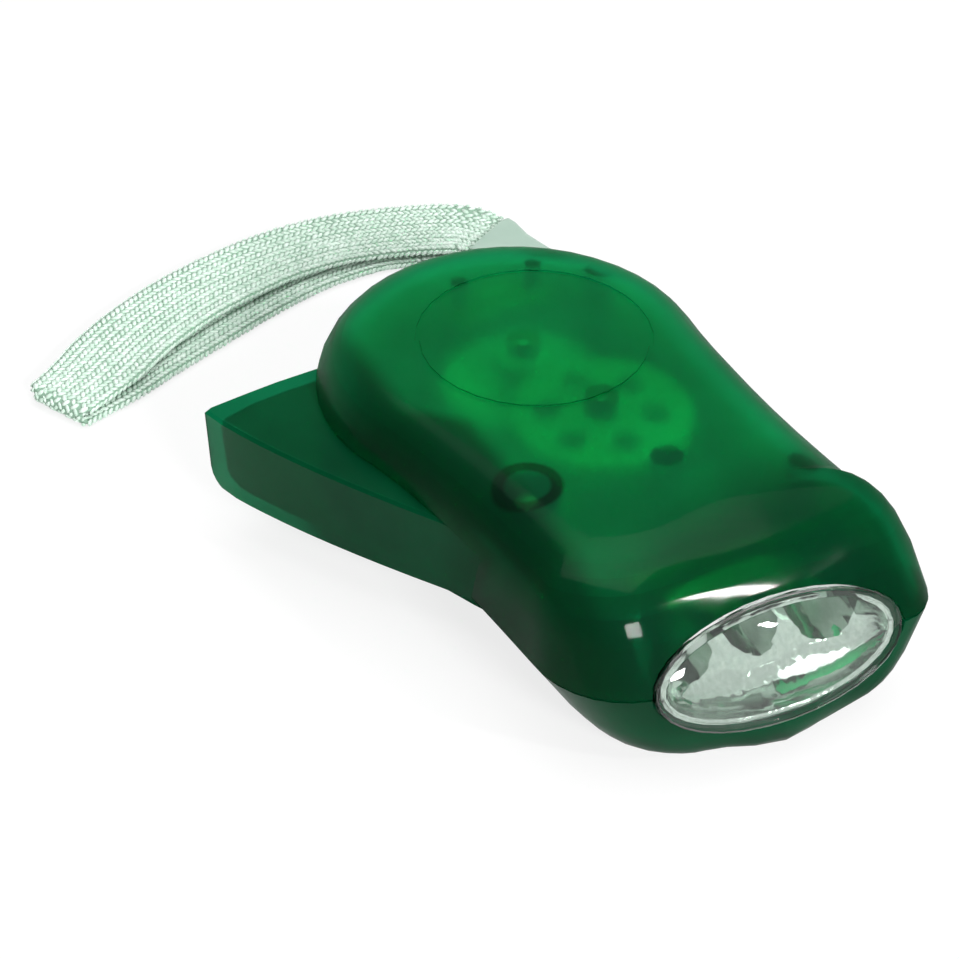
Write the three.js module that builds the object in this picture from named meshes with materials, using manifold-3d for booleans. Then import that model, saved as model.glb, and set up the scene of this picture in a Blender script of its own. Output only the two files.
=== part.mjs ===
// Squeeze-lever dynamo torch: two translucent housing halves round a gear train, a flywheel dynamo
// and three lamps, with a hinged lever on one side and a folded wrist strap lying beside it.
// Millimetres. X runs forward to the lens, Y away from the lever, Z up; the floor is Z = 0.
import * as THREE from "three";
import { mergeVertices } from "three/addons/utils/BufferGeometryUtils.js";
import Module from "manifold-3d";

const wasm = await Module();
wasm.setup();

// Housing
const PLAN_UNIT = 10;
const THICKNESS = 32;
const WALL = 2;
const PARTING_GAP = 0.3;
const SEAT_GAP = 0.3;
const FRONT_X = 49;
const CORNER_RIGHT = 7;
const CORNER_RIGHT_X = 43;
const CORNER_RIGHT_Y = 20.8;
const CORNER_RIGHT_END_ANGLE = 104;
const CORNER_LEFT = 14.5;
const CORNER_LEFT_X = 34.5;
const CORNER_LEFT_Y = -17.5;
const LOBE_X = -18;
const LOBE_Y = -8.3;
const LOBE_RADIUS = 31.6;
const LOBE_RADIUS_X = 31.2;
const LOBE_START_ANGLE = 84;
const LOBE_END_ANGLE = 282;
const WAIST_SHARES = [
  [2.6, 2.22],
  [-0.29, 2.16],
];
const LEVER_SIDE_SHARES = [
  [0.24, -3.42],
  [2.2, -3.3],
];
const SPINE_FRONT_X = 30;
const SPINE_FRONT_Y = -2.25;
const ROUND_REAR = 11;
const ROUND_HEAD = 15;
const LEAN_SHARE = 0.5095;
const LEAN_START_X = 25;
const TUCK = 9.8;
const SHOULDER = 2.5;
const TUCK_REAR_X = -22;
const TUCK_FULL_X = 2;
const TUCK_FAR_X = 22;
const TUCK_FAR_FULL_X = 48;
const TUCK_Y = -4;
const TUCK_FULL_Y = 25;
const RECESS_X = -16.4;
const RECESS_Y = -5.7;
const RECESS_RADIUS = 18.5;
const RECESS_WIDTH = 0.7;
const RECESS_DEPTH = 0.2;

// Lever and the slot it swings in
const PIVOT_X = 16;
const PIVOT_Y = -23.5;
const OPEN_ANGLE = 22;
const SLOT_LOW = 8.3;
const SLOT_TOP = 24;
const SLOT_EDGE_LOW_X = 16.5;
const SLOT_EDGE_TOP_X = 19.5;
const SLOT_REAR_ANGLE = 221;
const SLOT_REACH = 50;
const SLOT_INNER_RADIUS = 20;
const SLOT_DEEP_Y = -12;
const LEVER_WALL = 1.8;
const LEVER_EDGE = 0.5;
const LEVER_DRAFT_TIP = 0.7;
const LEVER_DRAFT_HUB = 2.2;
const NECK_RADIUS = 3.2;
const HUB_RADIUS = 4.6;
const HUB_STEP = 0.3;
const SPRING_ROOM = 0.65;
const HUB_FLANGE_RADIUS = 6.6;
const HUB_CLEARANCE = 0.4;
const TIP_ROUND = 4;
const TIP_FADE = 12;
const TIP_X = -56;
const OUTER_SHARES = [
  [0, -0.46],
  [-3.6, -1.27],
  [-5.48, -1.16],
];
const REAR_SHARES = [
  [-5.58, -1.13],
  [-5.6, -1],
  [-5.46, -0.4],
  [-5.32, 0.15],
  [-5.08, 0.9],
];
const BOW_RADIUS = 16;
const BOW_LIP = 1.2;
const BOW_START_ANGLE = 209;
const BOW_END_ANGLE = 285;
const HUB_TOP_ANGLE = 110;
const HUB_OUTER_ANGLE = -80;
const PIN_RADIUS = 1.5;
const PIN_LOW = 5;
const PIN_TOP = 28;
const LOWER_BOSS_RADIUS = 3;
const UPPER_BOSS_RADIUS = 4.6;
const BORE_GAP = 0.2;
const RUNNING_GAP = 0.25;

// Return spring
const SPRING_RADIUS = 4;
const WIRE_RADIUS = 0.4;
const SPRING_TURNS = 4;
const SPRING_PITCH = 1.3;
const SPRING_LOW = 11;
const SPRING_LEG_LENGTH = 8;
const SPRING_START_ANGLE = 160;
const SPRING_EXTRA_STEPS = -1;
const LEG_POST_X = -6.8;
const LEG_POST_Y = 1.9;
const STOP_PEG_RADIUS = 1;

// Gear train
const SECTOR_MODULE = 0.75;
const SECTOR_TEETH = 59;
const SECTOR_CUT_TEETH = 7;
const PINION_TEETH = 12;
const WHEEL_MODULE = 0.5;
const WHEEL_TEETH = 56;
const ROTOR_TEETH = 18;
const PRESSURE_ANGLE = 25;
const ADDENDUM_SHARE = 0.9;
const DEDENDUM_SHARE = 1.1;
const FLANK_GAP = 0.06;
const STEP_ANGLE = 128;
const ROTOR_ANGLE = 192.5;
const SECTOR_THICKNESS = 4;
const SECTOR_RIM = 3;
const SECTOR_SPOKE = 1.2;
const COLLAR_START_ANGLE = 40;
const COLLAR_END_ANGLE = 175;
const PINION_LOW = 16;
const WHEEL_LOW = 24.2;
const WHEEL_THICKNESS = 2.5;
const WHEEL_HUB_RADIUS = 2.2;
const WHEEL_WINDOW_RADIUS = 2.3;
const WHEEL_WINDOW_OFFSET = 8.2;
const WHEEL_WINDOWS = 6;
const AXLE_RADIUS = 1;
const AXLE_LOW = 3;
const AXLE_TOP = 29;
const STEP_BOSS_RADIUS = 2.8;
const CAP_BOSS_RADIUS = 2.6;

// Dynamo
const FLYWHEEL_RADIUS = 12.5;
const FLYWHEEL_LOW = 17.5;
const FLYWHEEL_TOP = 21.5;
const FLYWHEEL_RIM = 3;
const FLYWHEEL_DISH = 1.2;
const FLYWHEEL_HUB_RADIUS = 3;
const ROTOR_PINION_LOW = 23.9;
const ROTOR_PINION_TOP = 27.2;
const ROTOR_LOW = 6;
const MAGNET_RADIUS = 7;
const MAGNET_TOP = 16.5;
const MAGNET_SHOULDER = 5;
const MAGNET_SLEEVE = 2.5;
const STATOR_RADIUS = 12.6;
const STATOR_BORE = 7.8;
const STATOR_LOW = 3;
const STATOR_TOP = 16.3;
const STATOR_PLATE = 1.2;
const CLAW_THICKNESS = 1;
const CLAW_COUNT = 6;
const CLAW_REACH = 9.8;
const CLAW_ROOT_ANGLE = 15;
const CLAW_END_ANGLE = 9;
const BOBBIN_GAP = 0.3;
const BOBBIN_WALL = 0.7;
const ROTOR_BOSS_RADIUS = 2.4;
const STATOR_SEAT_IN = 9;
const STATOR_SEAT_OUT = 12;

// Lens, reflector and lamps
const LENS_WIDE = 20.3;
const LENS_TALL = 9.1;
const LENS_BACK = -1;
const LENS_FRONT = 0.8;
const LENS_CROWN = 1.7;
const LENS_HOLLOW = 0.3;
const LENS_RIM = 1.5;
const LENS_FIT = 0.2;
const REFLECTOR_FIT = 0.3;
const REFLECTOR_RIM = 1.1;
const REFLECTOR_REAR_X = 35.3;
const REFLECTOR_REAR_WIDE = 15.2;
const REFLECTOR_REAR_TALL = 6.2;
const BOWL_DEPTH = 6.5;
const CUP_FRONT_RADIUS = 5.3;
const CUP_REAR_RADIUS = 3;
const CUP_LENGTH = 14;
const LAMP_SPACING_SHARE = 0.3125;
const LAMP_Z = 17;
const LAMP_RADIUS = 2.5;
const LAMP_FLANGE_RADIUS = 2.9;
const LAMP_FLANGE = 1;
const LAMP_LENGTH = 8.6;
const LAMP_BOARD_X = 32.4;
const LAMP_BOARD_THICKNESS = 1.6;
const LAMP_BOARD_WIDE = 32;
const LAMP_BOARD_LOW = 7;
const LAMP_BOARD_TALL = 17;
const LEDGE_WIDE = 4;
const LEDGE_OFFSET = 9;

// Charge board and cell
const BOARD_X = -37;
const BOARD_Y = -2;
const BOARD_WIDE = 9;
const BOARD_LONG = 17;
const BOARD_LOW = 24;
const BOARD_THICKNESS = 1.2;
const BOARD_POST_RADIUS = 1.4;
const BOARD_POST_OFFSET = 6.6;
const CHIP_WIDE = 4;
const CHIP_LONG = 6;
const CHIP_TALL = 1.4;
const CELL_X = -38.4;
const CELL_Y = -2;
const CELL_RADIUS = 5.8;
const CELL_LOW = 6;
const CELL_TALL = 5.4;
const CELL_COUNT = 3;
const CELL_GROOVE = 0.4;
const CELL_SEAT_RADIUS = 4.4;

// Screws and their posts
const SCREW_SHARES = [
  [1.7, -0.1],
  [-3.1, 1.35],
  [2.6, 1.7],
];
const POST_RADIUS = 2.5;
const POST_LOWER_RADIUS = 3.2;
const SCREW_RADIUS = 1;
const SCREW_HEAD_RADIUS = 2.1;
const SCREW_HEAD = 1.6;
const SCREW_SEAT = 5;
const SCREW_TOP = 22;
const SCREW_SLOT = 0.5;
const SCREW_SLOT_DEPTH = 0.8;
const HEAD_FIT = 0.3;

// Strap, ferrule, cord and the housing's eyelet
const STRAP_WIDE = 16;
const STRAP_THICKNESS = 1.6;
const STRAP_SPACE = 0.55;
const STRAP_SEAT = 0.3;
const STRAP_LEAD = 3.2;
const STRAP_PINCH_SHARE = 0.07;
const STRAP_LOWER_SHARES = [
  [-8.93, 1.64],
  [-9.18, 0.95],
  [-9.4, 0],
  [-9.28, -1.3],
  [-8.9, -2.55],
  [-8.4, -3.8],
  [-7.92, -4.95],
  [-7.48, -5.85],
];
const STRAP_FOLD_SHARES = [
  [-7.16, -6.6],
  [-7.16, -6.6],
];
const STRAP_UPPER_SHARES = [
  [-7.64, -5.85],
  [-8.4, -4.8],
  [-8.97, -3.7],
  [-9.29, -2.78],
  [-9.54, -1.75],
  [-9.6, -0.67],
  [-9.46, 0.2],
  [-9.23, 1],
  [-8.97, 1.62],
];
const STRAP_FOLD_WIDE = 13.6;
const FERRULE_START_SHARES = [-8.4, 2.05];
const FERRULE_END_SHARES = [-7.15, 2.78];
const FERRULE_WIDE = 13.5;
const FERRULE_TALL = 4.6;
const FERRULE_NARROW = 4.6;
const CORD_RADIUS = 0.8;
const CORD_STEPS = 30;
const EYELET_ANGLE = 146;
const EYELET_OUT = 6.1;
const EYELET_BAR = 1.9;
const EYELET_HALF = 3.3;
const EYELET_LOW = 12.2;
const CORD_SHARES = [
  [-7.03, 2.72, 0.24],
  [-6.75, 2.72, 0.28],
  [-6.3, 2.4, 0.5],
  [-5.75, 1.92, 1.05],
  [-5.23, 1.44, 1.6],
  [-4.9, 1.24, 1.76],
  [-4.71, 1.13, 1.66],
  [-4.61, 1.07, 1.4],
  [-4.71, 1.13, 1.14],
  [-4.9, 1.26, 1.04],
  [-5.2, 1.52, 0.96],
  [-5.65, 2.16, 0.5],
  [-6.25, 2.75, 0.22],
  [-6.75, 3.02, 0.2],
  [-6.99, 2.92, 0.24],
];

// Wires
const WIRING_RADIUS = 0.5;
const LAMP_WIRE_SHARES = [
  [-3.4, 0.72, 2.46],
  [-3.05, 0.84, 2.4],
  [-2.7, 0.89, 2.32],
  [-2, 1.2, 2.2],
  [-1, 1.46, 2.05],
  [0.8, 1.33, 2],
  [2.2, 1.2, 2],
  [3.18, 1.1, 2],
];
const LAMP_RETURN_SHARES = [
  [-3.64, 0.72, 2.46],
  [-3.34, 0.96, 2.4],
  [-2.92, 1.02, 2.25],
  [-2, 1.38, 2.03],
  [-1, 1.6, 1.88],
  [0.8, 1.5, 1.8],
  [2.2, 1.35, 1.76],
  [3.18, 1.24, 1.76],
];
const COIL_WIRE_SHARES = [
  [-3.18, -0.7, 1.05],
  [-3.32, -1.2, 1.1],
  [-3.7, -1.45, 1.6],
  [-3.85, -1.2, 2.1],
  [-3.8, -0.9, 2.34],
];

// Sections in shares of their own half width, height, length or depth
const STRAP_EDGE_SHARES = [
  [-1, -0.4],
  [-0.96, -1],
  [0.96, -1],
  [1, -0.4],
  [1, 0.4],
  [0.96, 1],
  [-0.96, 1],
  [-1, 0.4],
];
const STRAP_TAPER_SHARE = 0.85;
const FERRULE_LENGTH_SHARES = [0, 0.12, 0.4, 0.75, 0.96, 1];
const FERRULE_NARROWING_SHARES = [0, 0.08, 0.55, 0.85, 1, 1.06];
const FERRULE_BOXY_SHARE = 0.45;
const BOWL_DEPTH_SHARES = [0, 0.3, 0.55, 0.78, 0.93];
const CUP_LENGTH_SHARES = [0, 0.18, 0.35, 0.6, 1];
const CUP_WIDTH_SHARES = [0, 0, 0.55, 0.85, 1];
const LENS_CROWN_HEIGHT_SHARE = 0.55;
const LENS_CROWN_WIDTH_SHARE = 0.45;
const LEVER_HEIGHT_SHARES = [0, 0.12, 0.3, 0.6, 1];
const POCKET_HEIGHT_SHARES = [0, 0.3, 0.6];
const SLOT_LENGTH_SHARE = 2.6;
const TOOTH_RISE_SHARES = [0.6, 0.4];
const LEG_STOP_SHARE = 0.15;

// Fineness: sides of round forms and steps along curves
const MERGE_DISTANCE = 1e-4;
const WIRE_SIDES = 5;
const WIRING_SIDES = 6;
const CORD_SIDES = 8;
const COIL_SIDES = 8;
const LAMP_CAP_STEPS = 5;
const STRAP_STEPS = 13;
const FOLD_STEPS = 6;
const OUTER_STEPS = 12;
const BOW_STEPS = 9;
const HUB_STEPS = 10;
const POCKET_STEPS = 8;

const HALF = THICKNESS / 2;
const FINE = 32;
const COARSE = 16;
const UP = new THREE.Vector3(0, 0, 1);
const radians = THREE.MathUtils.degToRad;
const clamp = THREE.MathUtils.clamp;
const lerp = THREE.MathUtils.lerp;
const smooth = THREE.MathUtils.smoothstep;

// A closed geometry as a solid.
function solid(geometry) {
  const bare = geometry.index ? geometry.toNonIndexed() : geometry.clone();
  bare.deleteAttribute("normal");
  bare.deleteAttribute("uv");
  const merged = mergeVertices(bare, MERGE_DISTANCE);
  return new wasm.Manifold(
    new wasm.Mesh({
      numProp: 3,
      vertProperties: merged.attributes.position.array,
      triVerts: new Uint32Array(merged.index.array),
    }),
  );
}

const joined = (parts) => parts.reduce((whole, part) => whole.add(part));

// Rings of equal point count joined by side faces and closed by flat caps.
function loft(rings) {
  const count = rings[0].length;
  const position = rings.flat().flatMap((p) => [p.x, p.y, p.z]);
  const index = [];
  for (let r = 0; r + 1 < rings.length; r += 1) {
    for (let i = 0; i < count; i += 1) {
      const a = r * count + i;
      const b = r * count + ((i + 1) % count);
      index.push(a, b, b + count, a, b + count, a + count);
    }
  }
  const cap = (ring, start, flip) => {
    const normal = new THREE.Vector3();
    ring.forEach((p, i) => normal.add(p.clone().cross(ring[(i + 1) % count])));
    const size = normal.toArray().map(Math.abs);
    const axis = size.indexOf(Math.max(...size));
    const flat = ring.map((p) => {
      const c = p.toArray();
      return new THREE.Vector2(c[(axis + 1) % 3], c[(axis + 2) % 3]);
    });
    const winding = THREE.ShapeUtils.area(flat) > 0;
    THREE.ShapeUtils.triangulateShape(flat.slice(), []).forEach((face) => {
      const same = THREE.ShapeUtils.area(face.map((i) => flat[i])) > 0 === winding;
      const order = same !== flip ? face : face.slice().reverse();
      index.push(...order.map((i) => start + i));
    });
  };
  cap(rings[0], 0, true);
  cap(rings[rings.length - 1], (rings.length - 1) * count, false);
  const geometry = new THREE.BufferGeometry();
  geometry.setAttribute("position", new THREE.Float32BufferAttribute(position, 3));
  geometry.setIndex(index);
  return geometry;
}

function lofted(rings) {
  const made = solid(loft(rings));
  return made.volume() > 0 ? made : solid(loft(rings.slice().reverse()));
}

// A plan outline given height.
function raised(points, low, top) {
  const shape = new THREE.Shape(points);
  const geometry = new THREE.ExtrudeGeometry(shape, { depth: top - low, bevelEnabled: false });
  return solid(geometry.translate(0, 0, low));
}

function drum(x, y, radius, low, top, sides = COARSE) {
  const geometry = new THREE.CylinderGeometry(radius, radius, top - low, sides);
  return solid(geometry.rotateX(Math.PI / 2).translate(x, y, (low + top) / 2));
}

function block(x, y, low, wide, long, tall) {
  return solid(new THREE.BoxGeometry(wide, long, tall).translate(x, y, low + tall / 2));
}

// A profile of [radius, height] pairs turned round a vertical line.
function turned(profile, x, y, sides = COARSE) {
  const points = profile.map(([r, z]) => new THREE.Vector2(r, z));
  const geometry = new THREE.LatheGeometry(points, sides).rotateX(Math.PI / 2);
  const made = solid(geometry.translate(x, y, 0));
  return made;
}

function ringed(x, y, inner, outer, low, top, sides = FINE) {
  const profile = [
    [inner, low],
    [outer, low],
    [outer, top],
    [inner, top],
    [inner, low],
  ];
  return turned(profile, x, y, sides);
}

const scaled = (share) => share.map((value) => value * PLAN_UNIT);
const planPoint = (share) => new THREE.Vector2(...scaled(share));
const spacePoint = (share) => new THREE.Vector3(...scaled(share));
const polar = (x, y, radius, degrees) =>
  new THREE.Vector2(x + radius * Math.cos(radians(degrees)), y + radius * Math.sin(radians(degrees)));
const lobeReach = (degrees) =>
  1 / Math.hypot(Math.cos(radians(degrees)) / LOBE_RADIUS_X, Math.sin(radians(degrees)) / LOBE_RADIUS);

const pivot = new THREE.Vector2(PIVOT_X, PIVOT_Y);
const stepDistance = (SECTOR_MODULE * (SECTOR_TEETH + PINION_TEETH)) / 2;
const step = polar(PIVOT_X, PIVOT_Y, stepDistance, STEP_ANGLE);
const rotorDistance = (WHEEL_MODULE * (WHEEL_TEETH + ROTOR_TEETH)) / 2;
const rotor = polar(step.x, step.y, rotorDistance, ROTOR_ANGLE);

// Housing plan at the parting line, counter-clockwise from the front
function housingPlan() {
  const lobe = new THREE.EllipseCurve(
    LOBE_X,
    LOBE_Y,
    LOBE_RADIUS_X,
    LOBE_RADIUS,
    radians(LOBE_START_ANGLE),
    radians(LOBE_END_ANGLE),
    false,
  );
  const arc = (x, y, radius, start, end) =>
    new THREE.EllipseCurve(x, y, radius, radius, radians(start), radians(end), false);
  const right = arc(CORNER_RIGHT_X, CORNER_RIGHT_Y, CORNER_RIGHT, 0, CORNER_RIGHT_END_ANGLE);
  const left = arc(CORNER_LEFT_X, CORNER_LEFT_Y, CORNER_LEFT, -90, 0);
  const curves = [
    [new THREE.LineCurve(left.getPoint(1), right.getPoint(0)), 6],
    [right, 6],
    [new THREE.CubicBezierCurve(right.getPoint(1), ...WAIST_SHARES.map(planPoint), lobe.getPoint(0)), 10],
    [lobe, 24],
    [new THREE.CubicBezierCurve(lobe.getPoint(1), ...LEVER_SIDE_SHARES.map(planPoint), left.getPoint(0)), 10],
    [left, 8],
  ];
  return curves.flatMap(([curve, steps]) => curve.getPoints(steps).slice(0, steps));
}

const plan = housingPlan();

// How far the wall below the parting line slopes in, on the lever's side and at the head's corners.
function tuckShare(p) {
  const along = p.y < 0 ? smooth(p.x, TUCK_REAR_X, TUCK_FULL_X) : smooth(p.x, TUCK_FAR_X, TUCK_FAR_FULL_X);
  return along * smooth(Math.abs(p.y), TUCK_Y, TUCK_FULL_Y);
}

// One ring of the housing surface: rise is the share of the half height, side 1 up and -1 down.
function housingRing(rise, side, setIn) {
  const share = 1 - Math.cbrt(1 - rise ** 3);
  const z = HALF + side * rise * (HALF - setIn);
  return plan.map((p) => {
    const front = smooth(p.x, LEAN_START_X, FRONT_X);
    const head = clamp(p.x / SPINE_FRONT_X, 0, 1);
    const round = lerp(ROUND_REAR, ROUND_HEAD, head);
    const shoulder = p.y > 0 ? SHOULDER * tuckShare(p) : 0;
    const tuck = side < 0 ? TUCK * tuckShare(p) : shoulder;
    const inset = (round - tuck) * share + tuck * rise + setIn;
    const spineX = clamp(p.x, LOBE_X, SPINE_FRONT_X);
    const along = (spineX - LOBE_X) / (SPINE_FRONT_X - LOBE_X);
    const inward = new THREE.Vector2(spineX, lerp(LOBE_Y, SPINE_FRONT_Y, along)).sub(p).normalize();
    return new THREE.Vector3(
      p.x + inward.x * inset + front * (HALF - z) * LEAN_SHARE,
      p.y + inward.y * inset,
      z,
    );
  });
}

// Half of the housing's outside or of its hollow.
function housingHalf(side, setIn, gap, angles) {
  const rises = angles.map((angle) => Math.cbrt(Math.sin(radians(angle)) ** 2));
  const first = gap / HALF;
  return lofted(rises.map((rise) => housingRing(Math.max(rise, first), side, setIn)));
}

const OUTER_ANGLES = [0, 16, 30, 43, 54, 64, 72, 79, 85, 90];
const INNER_ANGLES = [0, 32, 54, 68, 79, 90];
const outerUpper = housingHalf(1, 0, PARTING_GAP / 2, OUTER_ANGLES);
const outerLower = housingHalf(-1, 0, PARTING_GAP / 2, OUTER_ANGLES);
const hollowUpper = housingHalf(1, WALL, 0, INNER_ANGLES);
const hollowLower = housingHalf(-1, WALL, 0, INNER_ANGLES);

// The lens plane leans back; places are given across it, up it and out of it.
const leanAngle = Math.atan(LEAN_SHARE);
const lensNormal = new THREE.Vector3(Math.cos(leanAngle), 0, Math.sin(leanAngle));
const lensUp = new THREE.Vector3(-Math.sin(leanAngle), 0, Math.cos(leanAngle));
function lensPoint(across, up, out) {
  return new THREE.Vector3(FRONT_X, across, HALF)
    .addScaledVector(lensUp, up)
    .addScaledVector(lensNormal, out);
}
function lensRing(wide, tall, out, sides = FINE) {
  return Array.from({ length: sides }, (_, i) => {
    const turn = (2 * Math.PI * i) / sides;
    return lensPoint(wide * Math.cos(turn), tall * Math.sin(turn), out);
  });
}
const lensReach = FRONT_X / 4;
const lensBore = lofted([
  lensRing(LENS_WIDE + LENS_FIT, LENS_TALL + LENS_FIT, LENS_BACK),
  lensRing(LENS_WIDE + LENS_FIT, LENS_TALL + LENS_FIT, lensReach),
]);
const lampBoardRoom = block(
  LAMP_BOARD_X + LAMP_BOARD_THICKNESS / 2,
  0,
  LAMP_BOARD_LOW - SEAT_GAP,
  LAMP_BOARD_THICKNESS + 2 * SEAT_GAP,
  LAMP_BOARD_WIDE + 2 * SEAT_GAP,
  LAMP_BOARD_TALL + 2 * SEAT_GAP,
);
const reflectorWide = LENS_WIDE - REFLECTOR_RIM;
const lampSpacing = LAMP_BOARD_WIDE * LAMP_SPACING_SHARE;
const reflectorTall = LENS_TALL - REFLECTOR_RIM;
const reflectorBore = lofted([
  lensRing(reflectorWide + REFLECTOR_FIT, reflectorTall + REFLECTOR_FIT, -lensReach),
  lensRing(reflectorWide + REFLECTOR_FIT, reflectorTall + REFLECTOR_FIT, lensReach),
]);

const screws = SCREW_SHARES.map(planPoint);
const bossFoot = WALL / 2;
const capFoot = THICKNESS - WALL / 2;
const leverLow = SLOT_LOW + SEAT_GAP;
const leverTop = SLOT_TOP - SEAT_GAP;

// Lever plan about the pivot, drawn shut, counter-clockwise from the hub's outer side
function leverPlan() {
  const [start, control, end] = OUTER_SHARES.map(planPoint);
  const outer = new THREE.QuadraticBezierCurve(start, control, end).getPoints(OUTER_STEPS).reverse();
  const bowX = rotor.x - PIVOT_X;
  const bowY = rotor.y - PIVOT_Y;
  const bowCentre = new THREE.Vector2(bowX, bowY);
  const rear = REAR_SHARES.map(planPoint).filter((p) => p.distanceTo(bowCentre) > BOW_RADIUS + BOW_LIP);
  const turnedBack = new THREE.EllipseCurve(
    bowX,
    bowY,
    BOW_RADIUS,
    BOW_RADIUS,
    radians(BOW_START_ANGLE),
    radians(BOW_END_ANGLE),
    false,
  ).getPoints(BOW_STEPS);
  const hub = new THREE.EllipseCurve(
    0,
    0,
    HUB_RADIUS,
    HUB_RADIUS,
    radians(HUB_TOP_ANGLE),
    radians(HUB_OUTER_ANGLE),
    true,
  ).getPoints(HUB_STEPS);
  return [...rear, ...turnedBack, ...hub, ...outer.reverse().slice(0, -1)].reverse();
}

const leverOutline = leverPlan();

// Points of a closed outline moved inwards by a small distance.
function setInside(points, distance) {
  return points.map((p, i) => {
    const before = points[(i + points.length - 1) % points.length];
    const after = points[(i + 1) % points.length];
    const a = p.clone().sub(before).normalize();
    const b = after.clone().sub(p).normalize();
    const bisector = new THREE.Vector2(-(a.y + b.y), a.x + b.x).normalize();
    const spread = Math.max(bisector.dot(new THREE.Vector2(-a.y, a.x)), 0.5);
    return p.clone().addScaledVector(bisector, distance / spread);
  });
}

// The lower corner of the lever's tip is rounded off: how far it is drawn back at a height.
function tipSetback(z) {
  const drop = clamp((leverLow + TIP_ROUND - z) / TIP_ROUND, 0, 1);
  return TIP_ROUND * (1 - Math.sqrt(1 - drop ** 2));
}

// The outer side leans in towards the lower edge, more so beside the hub.
function leverRing(points, z, tipZ) {
  const fall = (leverTop - z) / (leverTop - leverLow);
  return points.map((p) => {
    const share = clamp((TIP_X + TIP_FADE - p.x) / TIP_FADE, 0, 1);
    const draft = lerp(LEVER_DRAFT_HUB, LEVER_DRAFT_TIP, clamp(p.x / TIP_X, 0, 1));
    const outer = smooth(-p.y, HUB_RADIUS, HUB_RADIUS + LEVER_WALL);
    return new THREE.Vector3(p.x + tipSetback(tipZ) * share, p.y + draft * fall * outer, z);
  });
}

function placedLever(made) {
  return made.rotate([0, 0, OPEN_ANGLE]).translate([PIVOT_X, PIVOT_Y, 0]);
}

// The slot for the lever: its edge beside the hub leans with the housing's side.
function slotRing(edgeX, z) {
  const rear = polar(LOBE_X, LOBE_Y, SLOT_INNER_RADIUS, SLOT_REAR_ANGLE);
  const out = polar(LOBE_X, LOBE_Y, SLOT_REACH, SLOT_REAR_ANGLE);
  return [
    new THREE.Vector3(edgeX, -SLOT_REACH, z),
    new THREE.Vector3(edgeX, SLOT_DEEP_Y, z),
    new THREE.Vector3(LOBE_X, LOBE_Y + SLOT_DEEP_Y, z),
    new THREE.Vector3(rear.x, rear.y, z),
    new THREE.Vector3(out.x, out.y, z),
    new THREE.Vector3(out.x, -SLOT_REACH, z),
  ];
}
const slot = lofted([slotRing(SLOT_EDGE_LOW_X, SLOT_LOW), slotRing(SLOT_EDGE_TOP_X, SLOT_TOP)])
  .add(drum(PIVOT_X, PIVOT_Y, HUB_RADIUS + HUB_CLEARANCE, SLOT_LOW, SLOT_TOP, FINE))
  .add(drum(PIVOT_X, PIVOT_Y, HUB_FLANGE_RADIUS + HUB_CLEARANCE, HALF, SLOT_TOP, FINE))
  .add(placedLever(raised(setInside(leverOutline, -HUB_CLEARANCE), SLOT_LOW, SLOT_TOP)));

function upperShell() {
  const bosses = [
    drum(PIVOT_X, PIVOT_Y, UPPER_BOSS_RADIUS, SLOT_TOP, capFoot, FINE),
    drum(step.x, step.y, CAP_BOSS_RADIUS, WHEEL_LOW + WHEEL_THICKNESS + SEAT_GAP, capFoot),
    drum(rotor.x, rotor.y, CAP_BOSS_RADIUS, ROTOR_PINION_TOP + SEAT_GAP, capFoot),
    ...screws.map((p) => drum(p.x, p.y, POST_RADIUS, HALF, capFoot)),
    ...[-1, 1].map((side) => {
      const postY = BOARD_Y + side * BOARD_POST_OFFSET;
      return drum(BOARD_X, postY, BOARD_POST_RADIUS, BOARD_LOW + BOARD_THICKNESS, capFoot);
    }),
  ];
  const inside = housingHalf(1, WALL / 2, 0, INNER_ANGLES);
  const recess = ringed(
    RECESS_X,
    RECESS_Y,
    RECESS_RADIUS - RECESS_WIDTH,
    RECESS_RADIUS,
    THICKNESS - RECESS_DEPTH,
    THICKNESS + RECESS_DEPTH,
  );
  const bores = [
    drum(PIVOT_X, PIVOT_Y, PIN_RADIUS + BORE_GAP, SLOT_TOP - WALL, PIN_TOP + SEAT_GAP),
    drum(step.x, step.y, AXLE_RADIUS + BORE_GAP, WHEEL_LOW, AXLE_TOP + SEAT_GAP),
    drum(rotor.x, rotor.y, AXLE_RADIUS + BORE_GAP, WHEEL_LOW, AXLE_TOP + SEAT_GAP),
    ...screws.map((p) => drum(p.x, p.y, SCREW_RADIUS + BORE_GAP, HALF - WALL, SCREW_TOP + SEAT_GAP)),
  ];
  return joined([
    outerUpper.subtract(hollowUpper).subtract(slot),
    ...bosses.map((boss) => boss.intersect(inside)),
  ])
    .subtract(joined(bores))
    .subtract(recess)
    .subtract(lampBoardRoom)
    .subtract(lensBore)
    .subtract(reflectorBore);
}

// The loop at the rear that the cord is tied to.
function eyelet() {
  const top = HALF - PARTING_GAP;
  const wall = lobeReach(EYELET_ANGLE);
  const reach = wall + EYELET_OUT - EYELET_HALF;
  const root = wall - WALL / 2;
  const out = polar(LOBE_X, LOBE_Y, reach, EYELET_ANGLE);
  const start = polar(LOBE_X, LOBE_Y, root, EYELET_ANGLE);
  const neck = block(0, 0, EYELET_LOW, reach - root, 2 * EYELET_HALF, top - EYELET_LOW)
    .rotate([0, 0, EYELET_ANGLE])
    .translate([(start.x + out.x) / 2, (start.y + out.y) / 2, 0]);
  const hole = EYELET_HALF - EYELET_BAR;
  const holeStart = polar(LOBE_X, LOBE_Y, reach - hole / 2, EYELET_ANGLE);
  return neck
    .add(drum(out.x, out.y, EYELET_HALF, EYELET_LOW, top))
    .subtract(drum(out.x, out.y, hole, 0, THICKNESS))
    .subtract(drum(holeStart.x, holeStart.y, hole, 0, THICKNESS));
}

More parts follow.
